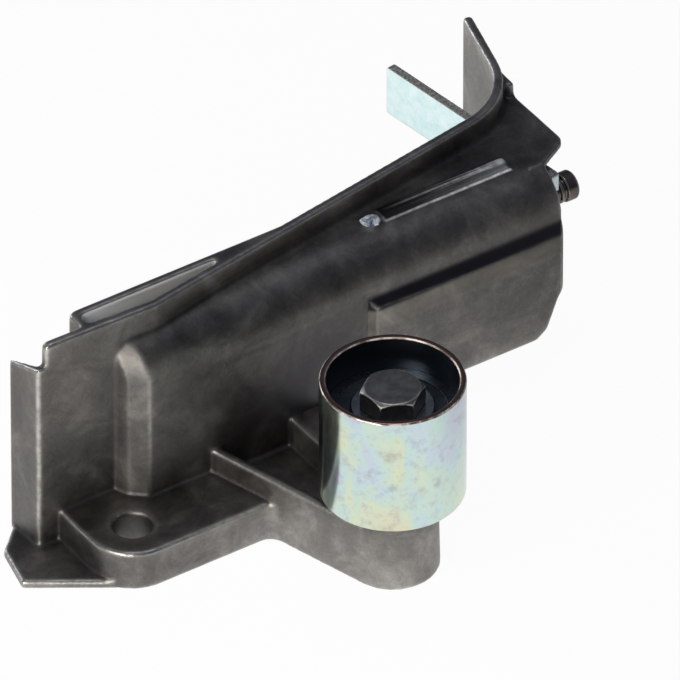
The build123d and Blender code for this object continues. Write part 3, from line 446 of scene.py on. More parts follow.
# %% Torn gate
GATE_X, GATE_Y = 75.7, 17.3
STUB_RADIUS = 1.5
SCAR_RADIUS, RAGGED, NARROWER = 2.35, 0.45, 0.9
SCAR_RISE, COARSE_CHIPS, FINE_CHIPS, SCAR_SUNK = 0.34, 0.26, 0.12, 0.1
gate_top = float(z[np.hypot(x - GATE_X, y - GATE_Y) < STUB_RADIUS].max())
shape = bmesh.new()
bmesh.ops.create_icosphere(shape, subdivisions=5, radius=1.0)
for point in shape.verts:
    angle = math.atan2(point.co.y, point.co.x)
    reach = SCAR_RADIUS + RAGGED * noise.noise((2 * math.cos(angle), 2 * math.sin(angle), 7.0))
    chips = COARSE_CHIPS * noise.noise(point.co * 4.0) + FINE_CHIPS * noise.noise(point.co * 11.0)
    rise = SCAR_RISE + chips * (point.co.z > 0)
    point.co = Vector((GATE_X + reach * point.co.x,
                       GATE_Y + reach * NARROWER * point.co.y,
                       gate_top - SCAR_SUNK + rise * point.co.z)) * MM
gate_scar = finished(shape, "torn_gate")
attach(gate_scar, "housing")
print("gate at z", round(gate_top, 2), "mm with", len(gate_scar.data.polygons), "faces")

# %% [markdown]
# ## Die-cast aluminium
#
# The bracket is an aluminium-silicon alloy shot into a steel die. The skin
# comes out grey and slightly mottled where the melt met the cooler die, with
# a fine grain from the die spray, so the eye sees a dull metal with soft
# clouds. A picture of a casting could be laid over the walls, but it would
# bring its own light along and smear on the slopes. Noise in space has no
# seams and no light, so the skin is built from that, cloud by cloud.

# %% Cast skin
cast, tree, shader, where = new_material("die_cast_aluminium_tumbled")
mottle = add_node(tree, "ShaderNodeTexNoise",
                  values={"Scale": per_mm(11), "Detail": 5, "Roughness": 0.62, "Distortion": 0.6},
                  links={"Vector": where})
skin = add_node(tree, "ShaderNodeValToRGB", links={"Fac": mottle.outputs["Fac"]})
set_ramp(skin, (0.30, "#63615e"), (0.52, "#777471"), (0.72, "#918e8a"))
# The real grain is about a tenth of a millimetre, too fine to show, so it is drawn coarser.
grain = add_node(tree, "ShaderNodeTexNoise",
                 values={"Scale": per_mm(0.55), "Detail": 4, "Roughness": 0.7},
                 links={"Vector": where})
speckle = add_node(tree, "ShaderNodeMapRange",
                   values={"From Min": 0.3, "From Max": 0.7, "To Min": 0.86, "To Max": 1.1},
                   links={"Value": grain.outputs["Fac"]})
grained = add_node(tree, "ShaderNodeMix", TINT, {MIX_FACTOR: 1.0},
                   {MIX_A: skin.outputs["Color"], MIX_B: speckle.outputs["Result"]})
stain_noise = add_node(tree, "ShaderNodeTexNoise",
                       values={"Scale": per_mm(3.6), "Detail": 6, "Roughness": 0.68, "Distortion": 1.4},
                       links={"Vector": where})
stains = add_node(tree, "ShaderNodeMapRange",
                  values={"From Min": 0.34, "From Max": 0.64, "To Min": 0.90, "To Max": 1.10},
                  links={"Value": stain_noise.outputs["Fac"]})
stained = add_node(tree, "ShaderNodeMix", TINT, {MIX_FACTOR: 1.0},
                   {MIX_A: grained.outputs[MIX_OUT], MIX_B: stains.outputs["Result"]})
print("cast skin of", len(tree.nodes), "nodes")

# %% [markdown]
# ### Painted light and shade
#
# Faces that stand out are painted lighter and sheltered faces darker, as
# painted light and shade. Inner corners, the band above the pad and the wall
# behind the roller get painted shade, and the pad's shelf painted light. The
# marks on the mesh say where that is, and the material only has to choose the tone.

# %% Painted light and shade on the skin
# Painted light and shade: how far a point stands open makes it lighter, how sheltered it is makes it
# darker.
open_of = add_node(tree, "ShaderNodeAttribute", {"attribute_name": "open_mm"})
painted_light_and_shade = add_node(tree, "ShaderNodeMapRange",
                  values={"From Min": -0.5, "From Max": 0.7, "To Min": 0.55, "To Max": 1.3},
                  links={"Value": open_of.outputs["Fac"]})
# Painted light on the low front sides and the guard's end brightens the skin.
painted_light_of = add_node(tree, "ShaderNodeAttribute", {"attribute_name": "painted_light_mark"})
lit_and_shaded = add_node(tree, "ShaderNodeMath", {"operation": "MULTIPLY_ADD"}, {1: 0.5},
                   {0: painted_light_of.outputs["Fac"], 2: painted_light_and_shade.outputs["Result"]})
skin_lit_and_shaded = add_node(tree, "ShaderNodeMix", TINT, {MIX_FACTOR: 1.0},
                 {MIX_A: stained.outputs[MIX_OUT], MIX_B: lit_and_shaded.outputs["Value"]})
proud_of = add_node(tree, "ShaderNodeAttribute", {"attribute_name": "proud_mm"})
# Painted shade: inner corners, where the smoothing sank the surface, and the marked bands above the pad
# and behind the roller are darkened.
corner = add_node(tree, "ShaderNodeMapRange",
                  values={"From Min": -0.03, "From Max": -0.25, "To Min": 0.0, "To Max": 0.45},
                  links={"Value": proud_of.outputs["Fac"]})
root = add_node(tree, "ShaderNodeAttribute", {"attribute_name": "painted_shade_mark"})
painted_shade_share = add_node(tree, "ShaderNodeMath", {"operation": "MAXIMUM"},
                links={0: corner.outputs["Result"], 1: root.outputs["Fac"]})
with_painted_shade = add_node(tree, "ShaderNodeMix", BLEND, {MIX_B: linear("#3a393f")},
                 {MIX_FACTOR: painted_shade_share.outputs["Value"], MIX_A: skin_lit_and_shaded.outputs[MIX_OUT]})
# Painted light: the pad's shelf is mixed toward a pale beige, unevenly.
shelf = add_node(tree, "ShaderNodeAttribute", {"attribute_name": "shelf_light_mark"})
shelf_light_amount = add_node(tree, "ShaderNodeMapRange",
                   values={"From Min": 0.35, "From Max": 0.65, "To Min": 0.16, "To Max": 0.34},
                   links={"Value": mottle.outputs["Fac"]})
pale_share = add_node(tree, "ShaderNodeMath", {"operation": "MULTIPLY"},
                      links={0: shelf.outputs["Fac"], 1: shelf_light_amount.outputs["Result"]})
paler = add_node(tree, "ShaderNodeMix", BLEND, {MIX_B: linear("#b3aea0")},
                 {MIX_FACTOR: pale_share.outputs["Value"], MIX_A: with_painted_shade.outputs[MIX_OUT]})
print("with the handled places", len(tree.nodes), "nodes")

# %% [markdown]
# ### Edges that the tumbling polished, with painted highlight
#
# The stones in the drum only reach what stands proud, which is why the edges
# shine while the walls stay dull. The edges are also painted near white as
# their highlight. Blender could find edges from the angle between faces, but
# on a rounded mesh there is none. The number that the smoothing left behind
# says it better, and a noise breaks the line up.

# %% Polished edges with painted highlight
edge = add_node(tree, "ShaderNodeMapRange",
                values={"From Min": 0.03, "From Max": 0.26, "To Min": 0.0, "To Max": 0.9},
                links={"Value": proud_of.outputs["Fac"]})
wear_noise = add_node(tree, "ShaderNodeTexNoise",
                      values={"Scale": per_mm(2.5), "Detail": 3, "Roughness": 0.6},
                      links={"Vector": where})
wear_patches = add_node(tree, "ShaderNodeMapRange",
                        values={"From Min": 0.32, "From Max": 0.62, "To Min": 0.25, "To Max": 1.0},
                        links={"Value": wear_noise.outputs["Fac"]})
polish_and_edge_light = add_node(tree, "ShaderNodeMath", {"operation": "MULTIPLY", "use_clamp": True},
                links={0: edge.outputs["Result"], 1: wear_patches.outputs["Result"]})
# Wear and painted highlight: the proud edges are mixed toward near white.
worn = add_node(tree, "ShaderNodeMix", BLEND, {MIX_B: linear("#cfcdc7")},
                {MIX_FACTOR: polish_and_edge_light.outputs["Value"], MIX_A: paler.outputs[MIX_OUT]})
print("with the edges", len(tree.nodes), "nodes")

# %% [markdown]
# ### Strip, pocket and highlight line
#
# The strip on the crown is smooth, painted dark at its left as shade and
# bright at its right as light. The pocket is painted pale as light, and is
# less of a mirror. So is the painted highlight line along the strip.

# %% Strip, pocket and highlight line
strip = add_node(tree, "ShaderNodeAttribute", {"attribute_name": "strip_light_and_shade_mark"})
strip_shade_amount = add_node(tree, "ShaderNodeMapRange",
                      values={"From Min": STRIP_SHADE_START, "From Max": 0.0, "To Min": 0.95, "To Max": 0.0},
                      links={"Value": strip.outputs["Fac"]})
strip_shaded = add_node(tree, "ShaderNodeMix", BLEND, {MIX_B: linear("#2c2b2e")},
                   {MIX_FACTOR: strip_shade_amount.outputs["Result"], MIX_A: worn.outputs[MIX_OUT]})
strip_lit = add_node(tree, "ShaderNodeMix", BLEND, {MIX_B: linear("#e4e4e0")},
                   {MIX_FACTOR: strip.outputs["Fac"], MIX_A: strip_shaded.outputs[MIX_OUT]})
# Painted light: the pocket behind the guard is mixed toward near white.
pocket = add_node(tree, "ShaderNodeAttribute", {"attribute_name": "pocket_light_mark"})
pocket_lit = add_node(tree, "ShaderNodeMix", BLEND, {MIX_B: linear("#f3f5f4")},
                  {MIX_FACTOR: pocket.outputs["Fac"], MIX_A: strip_lit.outputs[MIX_OUT]})
# Painted highlight: the strip's front line and far corner are mixed toward white.
highlight_of = add_node(tree, "ShaderNodeAttribute", {"attribute_name": "painted_highlight_mark"})
broken_line = add_node(tree, "ShaderNodeMath", {"operation": "MULTIPLY"},
                       links={0: highlight_of.outputs["Fac"], 1: wear_patches.outputs["Result"]})
with_highlight = add_node(tree, "ShaderNodeMix", BLEND, {MIX_B: linear("#ffffff")},
                      {MIX_FACTOR: broken_line.outputs["Value"], MIX_A: pocket_lit.outputs[MIX_OUT]})
matt = add_node(tree, "ShaderNodeMath", {"operation": "MAXIMUM"},
                links={0: pocket.outputs["Fac"], 1: broken_line.outputs["Value"]})
half_matt = add_node(tree, "ShaderNodeMapRange",
                     values={"From Min": 0.0, "From Max": 1.0, "To Min": 1.0, "To Max": 0.0},
                     links={"Value": matt.outputs["Value"]})
print("with the strip", len(tree.nodes), "nodes")

# %% [markdown]
# ### Gloss and relief of the casting
#
# Roughness could be one number, but cast walls mirror unevenly, and the
# polished edges mirror best. The grain and the broad waves of the die are
# bumps, which only tilt the light. That is enough for relief of a few tenths
# of a millimetre.

# %% Gloss and relief of the casting
dullness = add_node(tree, "ShaderNodeMapRange",
                    values={"From Min": 0.3, "From Max": 0.7, "To Min": 0.42, "To Max": 0.56},
                    links={"Value": mottle.outputs["Fac"]})
polish = add_node(tree, "ShaderNodeMapRange",
                  values={"From Min": 0.0, "From Max": 1.0, "To Max": 0.26},
                  links={"Value": polish_and_edge_light.outputs["Value"], "To Min": dullness.outputs["Result"]})
relief = add_node(tree, "ShaderNodeBump", values={"Strength": 0.5, "Distance": 0.05 * MM},
                  links={"Height": grain.outputs["Fac"]})
waves = add_node(tree, "ShaderNodeBump", values={"Strength": 0.35, "Distance": 0.35 * MM},
                 links={"Height": mottle.outputs["Fac"], "Normal": relief.outputs["Normal"]})
wire(tree, shader, {"Base Color": with_highlight.outputs[MIX_OUT],
                    "Metallic": half_matt.outputs["Result"],
                    "Roughness": polish.outputs["Result"],
                    "Normal": waves.outputs["Normal"]})
print(cast.name, "has", len(tree.nodes), "nodes")

# %% [markdown]
# ## The gate's fracture
#
# Where a casting breaks, its crystals show: small facets, some of which
# mirror the lamps while others stay matt, so the scar glitters. Modelling
# each facet would cost more faces than the whole bracket. One noise gives
# tone, gloss and share of metal at once, so that bright spots are also the
# ones that shine.

# %% Gate's fracture
fracture, tree, shader, where = new_material("torn_aluminium_fracture")
crystals = add_node(tree, "ShaderNodeTexNoise",
                    values={"Scale": per_mm(2.2), "Detail": 3, "Roughness": 0.55, "Distortion": 0.8},
                    links={"Vector": where})
bright = add_node(tree, "ShaderNodeValToRGB", links={"Fac": crystals.outputs["Fac"]})
set_ramp(bright, (0.34, "#7c8490"), (0.46, "#c9d3e0"), (0.60, "#f6faff"))
metal_share = add_node(tree, "ShaderNodeMapRange",
                       values={"From Min": 0.4, "From Max": 0.6, "To Min": 1.0, "To Max": 0.2},
                       links={"Value": crystals.outputs["Fac"]})
sparkle = add_node(tree, "ShaderNodeMapRange",
                   values={"From Min": 0.3, "From Max": 0.7, "To Min": 0.5, "To Max": 0.28},
                   links={"Value": crystals.outputs["Fac"]})
facets = add_node(tree, "ShaderNodeBump", values={"Strength": 0.5, "Distance": 0.2 * MM},
                  links={"Height": crystals.outputs["Fac"]})
wire(tree, shader, {"Base Color": bright.outputs["Color"],
                    "Metallic": metal_share.outputs["Result"],
                    "Roughness": sparkle.outputs["Result"],
                    "Normal": facets.outputs["Normal"]})
print(fracture.name, "has", len(tree.nodes), "nodes")

# %% [markdown]
# ## Zinc plate with a clear passivation
#
# The running sleeve is turned steel with about eight thousandths of a
# millimetre of zinc, dipped in a clear blue passivation. The film is so thin
# that it shows faint clouds of green, lilac and straw, as oil does on water.
# The shader can calculate a thin film, but then its colours turn with the
# view and can't be steered. Two ramps over noise hold them in place, and a
# third share follows the height, because the bath drained downwards.

# %% Passivation's colours
SLEEVE_TOP_Z, SLEEVE_LOW_Z = 51.0, 20.0
sleeve_zinc, tree, shader, where = new_material("zinc_plated_turned_steel")
stretch = add_node(tree, "ShaderNodeMapping", values={"Scale": (1.0, 1.0, 0.45)},
                   links={"Vector": where})
clouds = add_node(tree, "ShaderNodeTexNoise",
                  values={"Scale": per_mm(9), "Detail": 3, "Roughness": 0.5, "Distortion": 0.5},
                  links={"Vector": stretch.outputs["Vector"]})
heights = add_node(tree, "ShaderNodeSeparateXYZ", links={0: where})
drained = add_node(tree, "ShaderNodeMapRange",
                   values={"From Min": SLEEVE_TOP_Z * MM, "From Max": SLEEVE_LOW_Z * MM,
                           "To Min": -0.07, "To Max": 0.07},
                   links={"Value": heights.outputs["Z"]})
film_depth = add_node(tree, "ShaderNodeMath", {"operation": "ADD"},
                      links={0: clouds.outputs["Fac"], 1: drained.outputs["Result"]})
film = add_node(tree, "ShaderNodeValToRGB", links={"Fac": film_depth.outputs["Value"]})
set_ramp(film, (0.34, "#d3dbe8"), (0.45, "#cfe5e5"), (0.53, "#d4e6da"), (0.61, "#dfe8cf"),
         (0.72, "#e6dfc6"))
flecks = add_node(tree, "ShaderNodeTexNoise",
                  values={"Scale": per_mm(3.0), "Detail": 5, "Roughness": 0.62, "Distortion": 0.1},
                  links={"Vector": where})
tints = add_node(tree, "ShaderNodeValToRGB", links={"Fac": flecks.outputs["Fac"]})
set_ramp(tints, (0.30, "#a9a5a8"), (0.40, "#dccfd8"), (0.50, "#e9eef0"), (0.60, "#eef1e2"),
         (0.68, "#ecd3c4"))
patchy = add_node(tree, "ShaderNodeMix", TINT, {MIX_FACTOR: 0.5},
                  {MIX_A: film.outputs["Color"], MIX_B: tints.outputs["Color"]})
print("passivation of", len(tree.nodes), "nodes")

# %% [markdown]
# ### Painted shade inside, painted highlight on the rim
#
# Inside, the sleeve is painted dark as shade. Its rim is browned, and both
# lips of the rim get a painted highlight in places. Three materials on three face
# groups would do, but the sleeve's own mesh has to stay as the CAD made it.
# The distance from the roller's axis and the height tell the zones apart.

# %% Painted shade inside, painted highlight on the rim
OUTSIDE_FROM, INSIDE_FROM = 15.9, 15.5
RIM_FROM, RIM_FULL = 51.2, 51.35
WALL_MIDDLE, WALL_REACH = 15.72, 0.5
centred = add_node(tree, "ShaderNodeMapping",
                   values={"Location": (-ROLLER_X * MM, -ROLLER_Y * MM, 0.0), "Scale": (1.0, 1.0, 0.0)},
                   links={"Vector": where})
from_axis = add_node(tree, "ShaderNodeVectorMath", {"operation": "LENGTH"},
                     links={0: centred.outputs["Vector"]})
inside = add_node(tree, "ShaderNodeMapRange",
                  values={"From Min": OUTSIDE_FROM * MM, "From Max": INSIDE_FROM * MM,
                          "To Min": 0.0, "To Max": 1.0},
                  links={"Value": from_axis.outputs["Value"]})
# Painted shade: the inside of the sleeve is mixed toward a dark blue-grey.
shaded_inside = add_node(tree, "ShaderNodeMix", BLEND, {MIX_B: linear("#434b55")},
                 {MIX_FACTOR: inside.outputs["Result"], MIX_A: patchy.outputs[MIX_OUT]})
rim = add_node(tree, "ShaderNodeMapRange",
               values={"From Min": RIM_FROM * MM, "From Max": RIM_FULL * MM, "To Min": 0.0, "To Max": 1.0},
               links={"Value": heights.outputs["Z"]})
rimmed = add_node(tree, "ShaderNodeMix", BLEND, {MIX_B: linear("#8d7468")},
                  {MIX_FACTOR: rim.outputs["Result"], MIX_A: shaded_inside.outputs[MIX_OUT]})
mid_wall = add_node(tree, "ShaderNodeMath", {"operation": "COMPARE"},
                    {1: WALL_MIDDLE * MM, 2: WALL_REACH * MM}, {0: from_axis.outputs["Value"]})
both_lips = add_node(tree, "ShaderNodeMath", {"operation": "SUBTRACT", "use_clamp": True},
                     links={0: rim.outputs["Result"], 1: mid_wall.outputs["Value"]})
# Painted highlight: both lips of the rim are mixed toward a pale pink-white, broken up by noise.
lip_highlight_noise = add_node(tree, "ShaderNodeTexNoise",
                 values={"Scale": per_mm(5), "Detail": 4, "Roughness": 0.7},
                 links={"Vector": where})
lip_highlight_breaks = add_node(tree, "ShaderNodeMapRange",
                      values={"From Min": 0.42, "From Max": 0.58, "To Min": 0.2, "To Max": 1.0},
                      links={"Value": lip_highlight_noise.outputs["Fac"]})
lip_highlight = add_node(tree, "ShaderNodeMath", {"operation": "MULTIPLY"},
               links={0: both_lips.outputs["Value"], 1: lip_highlight_breaks.outputs["Result"]})
glinting = add_node(tree, "ShaderNodeMix", BLEND, {MIX_B: linear("#fff3ea")},
                    {MIX_FACTOR: lip_highlight.outputs["Value"], MIX_A: rimmed.outputs[MIX_OUT]})
print("with inside and rim", len(tree.nodes), "nodes")

# %% [markdown]
# ### Lathe rings and gloss of the sleeve
#
# Under the zinc lie the fine rings that the lathe left. Cut as real grooves,
# they would need thousands of faces. A noise squeezed along the axis gives
# them to the gloss and to the bump alike.

# %% Lathe rings and gloss of the sleeve
# The lathe's feed is about a tenth of a millimetre. The rings are drawn four times as far apart.
ring_space = add_node(tree, "ShaderNodeMapping",
                      values={"Scale": (per_mm(30), per_mm(30), per_mm(0.4))},
                      links={"Vector": where})
rings = add_node(tree, "ShaderNodeTexNoise", values={"Scale": 1.0, "Detail": 3, "Roughness": 0.6},
                 links={"Vector": ring_space.outputs["Vector"]})
not_lip = add_node(tree, "ShaderNodeMapRange",
                   values={"From Min": 0.0, "From Max": 1.0, "To Min": 1.0, "To Max": 0.3},
                   links={"Value": lip_highlight.outputs["Value"]})
shine = add_node(tree, "ShaderNodeMapRange",
                 values={"From Min": 0.3, "From Max": 0.7, "To Min": 0.13, "To Max": 0.2},
                 links={"Value": rings.outputs["Fac"]})
dull_inside = add_node(tree, "ShaderNodeMapRange",
                       values={"From Min": 0.0, "From Max": 1.0, "To Max": 0.36},
                       links={"Value": inside.outputs["Result"], "To Min": shine.outputs["Result"]})
lathe = add_node(tree, "ShaderNodeBump", values={"Strength": 0.25, "Distance": 0.02 * MM},
                 links={"Height": rings.outputs["Fac"]})
wire(tree, shader, {"Base Color": glinting.outputs[MIX_OUT],
                    "Metallic": not_lip.outputs["Result"],
                    "Roughness": dull_inside.outputs["Result"],
                    "Normal": lathe.outputs["Normal"]})
print(sleeve_zinc.name, "has", len(tree.nodes), "nodes")

# %% [markdown]
# ## The plain metals, rubbers and plastics
#
# The small parts differ in how they were made, not only in colour. Each
# could have a recipe of its own, but they share one pattern: two tones
# between which the surface drifts, a worn tone where an edge stands proud,
# and a fine grain in the gloss. So a table holds what differs, and one loop
# builds them all. The comment above a row says what its process does to the
# light.

# %% Table of small finishes
small_finishes = {
    # slot: material name, darker, lighter and worn tone, drift mm, roughness, metallic
    # fresh zinc over a rolled face: almost white, with a breath of blue
    "locking_zinc": ("zinc_plated_pressed_strip", "#d6f4f6", "#f0ffff", "#ffffff", 3.0, 0.22, 1.0),
    # grinding and lapping leave a clear grey mirror
    "bearing_steel": ("ground_bearing_steel", "#8f9296", "#b4b6b8", "#c8cacc", 3.0, 0.22, 1.0),
    # moulded in a smooth tool: blue-black with a soft sheen
    "shield_rubber": ("moulded_nitrile_shield", "#242b32", "#3a434c", "#4a545e", 2.0, 0.38, 0.0),
    # glass fibres break the sheen: dry and brown-black
    "cage_plastic": ("moulded_glass_filled_nylon", "#2b2723", "#3a352f", "#4a443c", 2.0, 0.5, 0.0),
    # a crystalline film dulls the mirror, and the corners get painted glints in the worn tone
    "bolt_steel": ("phosphated_bolt_steel", "#8b8883", "#aba7a1", "#f4f2ee", 2.2, 0.34, 1.0),
    # browned by hardening, with a narrow bright glint
    "piston_steel": ("hardened_turned_steel", "#6a615b", "#857b74", "#b8b1aa", 2.5, 0.2, 1.0),
    # waxy and dark, hardly any mirror
    "guide_plastic": ("moulded_ptfe_ring", "#3f3a34", "#57514a", "#6a635a", 2.0, 0.45, 0.0),
    # drawn through a die: grey, with long soft glints
    "spring_steel": ("drawn_spring_wire", "#6f6c68", "#918e89", "#b5b2ad", 1.5, 0.3, 1.0),
    # full of pores that hold oil: warm and without a mirror
    "bush_bronze": ("sintered_bronze", "#9b6f3a", "#b98b50", "#d6ac74", 1.2, 0.45, 1.0),
    # deep black, half matt
    "seal_rubber": ("moulded_rubber_lip", "#121314", "#1f2022", "#2c2e30", 1.5, 0.5, 0.0),
}
print("the table has", len(small_finishes), "finishes")

# %% Tones of a small finish


CUT_GRAIN = 0.7


def worn_tone_of(tree, where, dark, light, worn_hex, drift):
    """Two drifting tones with a third on proud edges, and how much edge there is."""
    tone = add_node(tree, "ShaderNodeTexNoise",
                    values={"Scale": per_mm(drift), "Detail": 5, "Roughness": 0.6},
                    links={"Vector": where})
    colour = add_node(tree, "ShaderNodeValToRGB", links={"Fac": tone.outputs["Fac"]})
    set_ramp(colour, (0.35, dark), (0.65, light))
    proud = add_node(tree, "ShaderNodeAttribute", {"attribute_name": "proud_mm"})
    edge = add_node(tree, "ShaderNodeMapRange",
                    values={"From Min": 0.004, "From Max": 0.026, "To Min": 0.0, "To Max": 0.85},
                    links={"Value": proud.outputs["Fac"]})
    worn = add_node(tree, "ShaderNodeMix", BLEND, {MIX_B: linear(worn_hex)},
                    {MIX_FACTOR: edge.outputs["Result"], MIX_A: colour.outputs["Color"]})
    return worn.outputs[MIX_OUT], edge.outputs["Result"]


def cut_tone_of(tree, where, worn):
    """The torn grey that the press leaves on a strip's cut faces, and where they are."""
    cut = add_node(tree, "ShaderNodeAttribute", {"attribute_name": "cut_mark"})
    across = add_node(tree, "ShaderNodeMapping", values={"Scale": (1.0, 1.0, 0.25)},
                      links={"Vector": where})
    torn = add_node(tree, "ShaderNodeTexNoise",
                    values={"Scale": per_mm(CUT_GRAIN), "Detail": 4, "Roughness": 0.7},
                    links={"Vector": across.outputs["Vector"]})
    torn_tone = add_node(tree, "ShaderNodeValToRGB", links={"Fac": torn.outputs["Fac"]})
    set_ramp(torn_tone, (0.36, "#76746f"), (0.62, "#cfcec8"))
    with_cuts = add_node(tree, "ShaderNodeMix", BLEND,
                         links={MIX_FACTOR: cut.outputs["Fac"], MIX_A: worn,
                                MIX_B: torn_tone.outputs["Color"]})
    return with_cuts.outputs[MIX_OUT], cut.outputs["Fac"]


print("cut faces are torn at a grain of", CUT_GRAIN, "mm")

# %% Small finishes in one loop
EDGE_RADIUS = 0.18 * MM
finishes = {"die_cast_aluminium": cast, "zinc_plated_steel": sleeve_zinc}
for slot, (name, dark, light, worn_hex, drift, rough, metal) in small_finishes.items():
    material, tree, shader, where = new_material(name)
    worn, edge = worn_tone_of(tree, where, dark, light, worn_hex, drift)
    with_cuts, cut = cut_tone_of(tree, where, worn)
    # The real grain is finer than a pixel, so it is drawn at a third of a millimetre.
    fine = add_node(tree, "ShaderNodeTexNoise",
                    values={"Scale": per_mm(0.3), "Detail": 3, "Roughness": 0.65},
                    links={"Vector": where})
    gloss = add_node(tree, "ShaderNodeMapRange",
                     values={"From Min": 0.3, "From Max": 0.7,
                             "To Min": rough - 0.06, "To Max": rough + 0.08},
                     links={"Value": fine.outputs["Fac"]})
    scuffed = add_node(tree, "ShaderNodeMath", {"operation": "MAXIMUM"}, links={0: edge, 1: cut})
    metal_share = add_node(tree, "ShaderNodeMapRange",
                           values={"From Min": 0.0, "From Max": 1.0,
                                   "To Min": metal, "To Max": 0.35 * metal},
                           links={"Value": scuffed.outputs["Value"]})
    soft_edge = add_node(tree, "ShaderNodeBevel", {"samples": 4}, {"Radius": EDGE_RADIUS})
    bump = add_node(tree, "ShaderNodeBump", values={"Strength": 0.2, "Distance": 0.02 * MM},
                    links={"Height": fine.outputs["Fac"], "Normal": soft_edge.outputs["Normal"]})
    wire(tree, shader, {"Base Color": with_cuts,
                        "Metallic": metal_share.outputs["Result"],
                        "Roughness": gloss.outputs["Result"],
                        "Normal": bump.outputs["Normal"]})
    finishes[slot] = material
print("finishes:", ", ".join(sorted(finishes)))

# %% [markdown]
# ## Every finish on its parts
#
# The CAD parts come with empty slots that are named for their finish. Each
# could be filled by hand, but a loop over the names can't miss one. The new
# pieces have no slot yet and are given theirs one by one.

# %% Put each finish on its parts
for part in nodes.values():
    for part_slot in part.material_slots:
        part_slot.material = finishes[part_slot.material.name.split(".")[0]]
new_pieces = {bracket: cast, root_fillet: cast, gate_scar: fracture,
              bolt: finishes["bolt_steel"], knob: finishes["piston_steel"],
              spring: finishes["spring_steel"], strip_of_steel: finishes["locking_zinc"]}
for piece, material in new_pieces.items():
    piece.data.materials.append(material)
print(len(nodes), "CAD parts and", len(new_pieces), "new pieces have their finish")

# %% [markdown]
# ## Floor
#
# A catalogue picture stands on white paper. The paper has to be white in the
# picture without adding light, so the camera sees it glow at strength 1,
# while light that bounces meets plain matt paper. Metal shows the paper too,
# but only an oval of it near the part: a bigger white sheet would wash out
# the sleeve's dark left edge.

# %% Floor
FLOOR_RADIUS = 3.0
FLOOR_MIDDLE_X = 0.05
FLOOR_DROP = 0.3 * MM
shape = bmesh.new()
bmesh.ops.create_circle(shape, cap_ends=True, segments=96, radius=FLOOR_RADIUS,
                        matrix=Matrix.Translation((FLOOR_MIDDLE_X, 0.0, -FLOOR_DROP)))
floor = finished(shape, "studio_floor")
paper = bpy.data.materials.new("matt_white_paper")
floor.data.materials.append(paper)
print("floor of", FLOOR_RADIUS, "m,", round(FLOOR_DROP / MM, 1), "mm under the foot")

# %% Paper that is white without adding light
SHEET_MIDDLE = (-0.02, -0.05, 0.0)
SHEET_SHAPE = (1.0, 0.35, 1.0)
tree = empty_tree(paper)
ray = add_node(tree, "ShaderNodeLightPath")
seen = add_node(tree, "ShaderNodeMath", {"operation": "MAXIMUM"},
                links={0: ray.outputs["Is Camera Ray"], 1: ray.outputs["Is Glossy Ray"]})
seen_through = add_node(tree, "ShaderNodeMath", {"operation": "MAXIMUM"},
                        links={0: seen.outputs["Value"], 1: ray.outputs["Is Transmission Ray"]})
spot = add_node(tree, "ShaderNodeTexCoord").outputs["Object"]
from_middle = add_node(tree, "ShaderNodeVectorMath", {"operation": "SUBTRACT"},
                       {1: SHEET_MIDDLE}, {0: spot})
oval = add_node(tree, "ShaderNodeVectorMath", {"operation": "MULTIPLY"}, {1: SHEET_SHAPE},
                {0: from_middle.outputs["Vector"]})
away = add_node(tree, "ShaderNodeVectorMath", {"operation": "LENGTH"},
                links={0: oval.outputs["Vector"]})
sheet = add_node(tree, "ShaderNodeMapRange", {"interpolation_type": "SMOOTHSTEP"},
                 {"From Min": 0.07, "From Max": 0.22, "To Min": 0.97, "To Max": 0.10},
                 {"Value": away.outputs["Value"]})
direct = add_node(tree, "ShaderNodeMath", {"operation": "MULTIPLY"}, {1: 0.96},
                  {0: ray.outputs["Is Camera Ray"]})
mirrored = add_node(tree, "ShaderNodeMath", {"operation": "MULTIPLY"},
                    links={0: seen_through.outputs["Value"], 1: sheet.outputs["Result"]})
share = add_node(tree, "ShaderNodeMath", {"operation": "MAXIMUM"},
                 links={0: direct.outputs["Value"], 1: mirrored.outputs["Value"]})
matt_paper = add_node(tree, "ShaderNodeBsdfDiffuse", values={"Color": linear("#f6f5f1")})
glow = add_node(tree, "ShaderNodeEmission", values={"Color": linear("#ffffff"), "Strength": 1.0})
blend = add_node(tree, "ShaderNodeMixShader",
                 links={0: share.outputs["Value"], 1: matt_paper.outputs["BSDF"],
                        2: glow.outputs["Emission"]})
add_node(tree, "ShaderNodeOutputMaterial", links={"Surface": blend.outputs["Shader"]})
print(paper.name, "has", len(tree.nodes), "nodes")

# %% [markdown]
# ## Room
#
# Bare metal shows its surroundings. A white room all round would make the
# part look like plaster, so the metal sees a dim studio: middle grey at the
# horizon, darker above it and a little lighter overhead, which makes walls
# light and tops dark. A picture of a real studio would do the same, but a
# ramp over the height is enough for such broad forms. The camera alone sees
# white.

# %% Room
world = bpy.data.worlds.new("dim_studio")
bpy.context.scene.world = world
tree = empty_tree(world)
direction = add_node(tree, "ShaderNodeTexCoord").outputs["Generated"]
height = add_node(tree, "ShaderNodeSeparateXYZ", links={0: direction})
room = add_node(tree, "ShaderNodeValToRGB", links={"Fac": height.outputs["Z"]})
set_ramp(room, (0.0, "#9a9a9a"), (0.05, "#6c6d70"), (0.12, "#4a4c50"), (0.40, "#4a4e58"),
         (1.0, "#5f6572"))
ray = add_node(tree, "ShaderNodeLightPath")
in_picture = add_node(tree, "ShaderNodeMix", BLEND, {MIX_B: linear("#fdfdfd")},
                      {MIX_FACTOR: ray.outputs["Is Camera Ray"], MIX_A: room.outputs["Color"]})
sky = add_node(tree, "ShaderNodeBackground", values={"Strength": 1.0},
               links={"Color": in_picture.outputs[MIX_OUT]})
add_node(tree, "ShaderNodeOutputWorld", links={"Surface": sky.outputs["Background"]})
print("room of", len(room.color_ramp.elements), "greys")

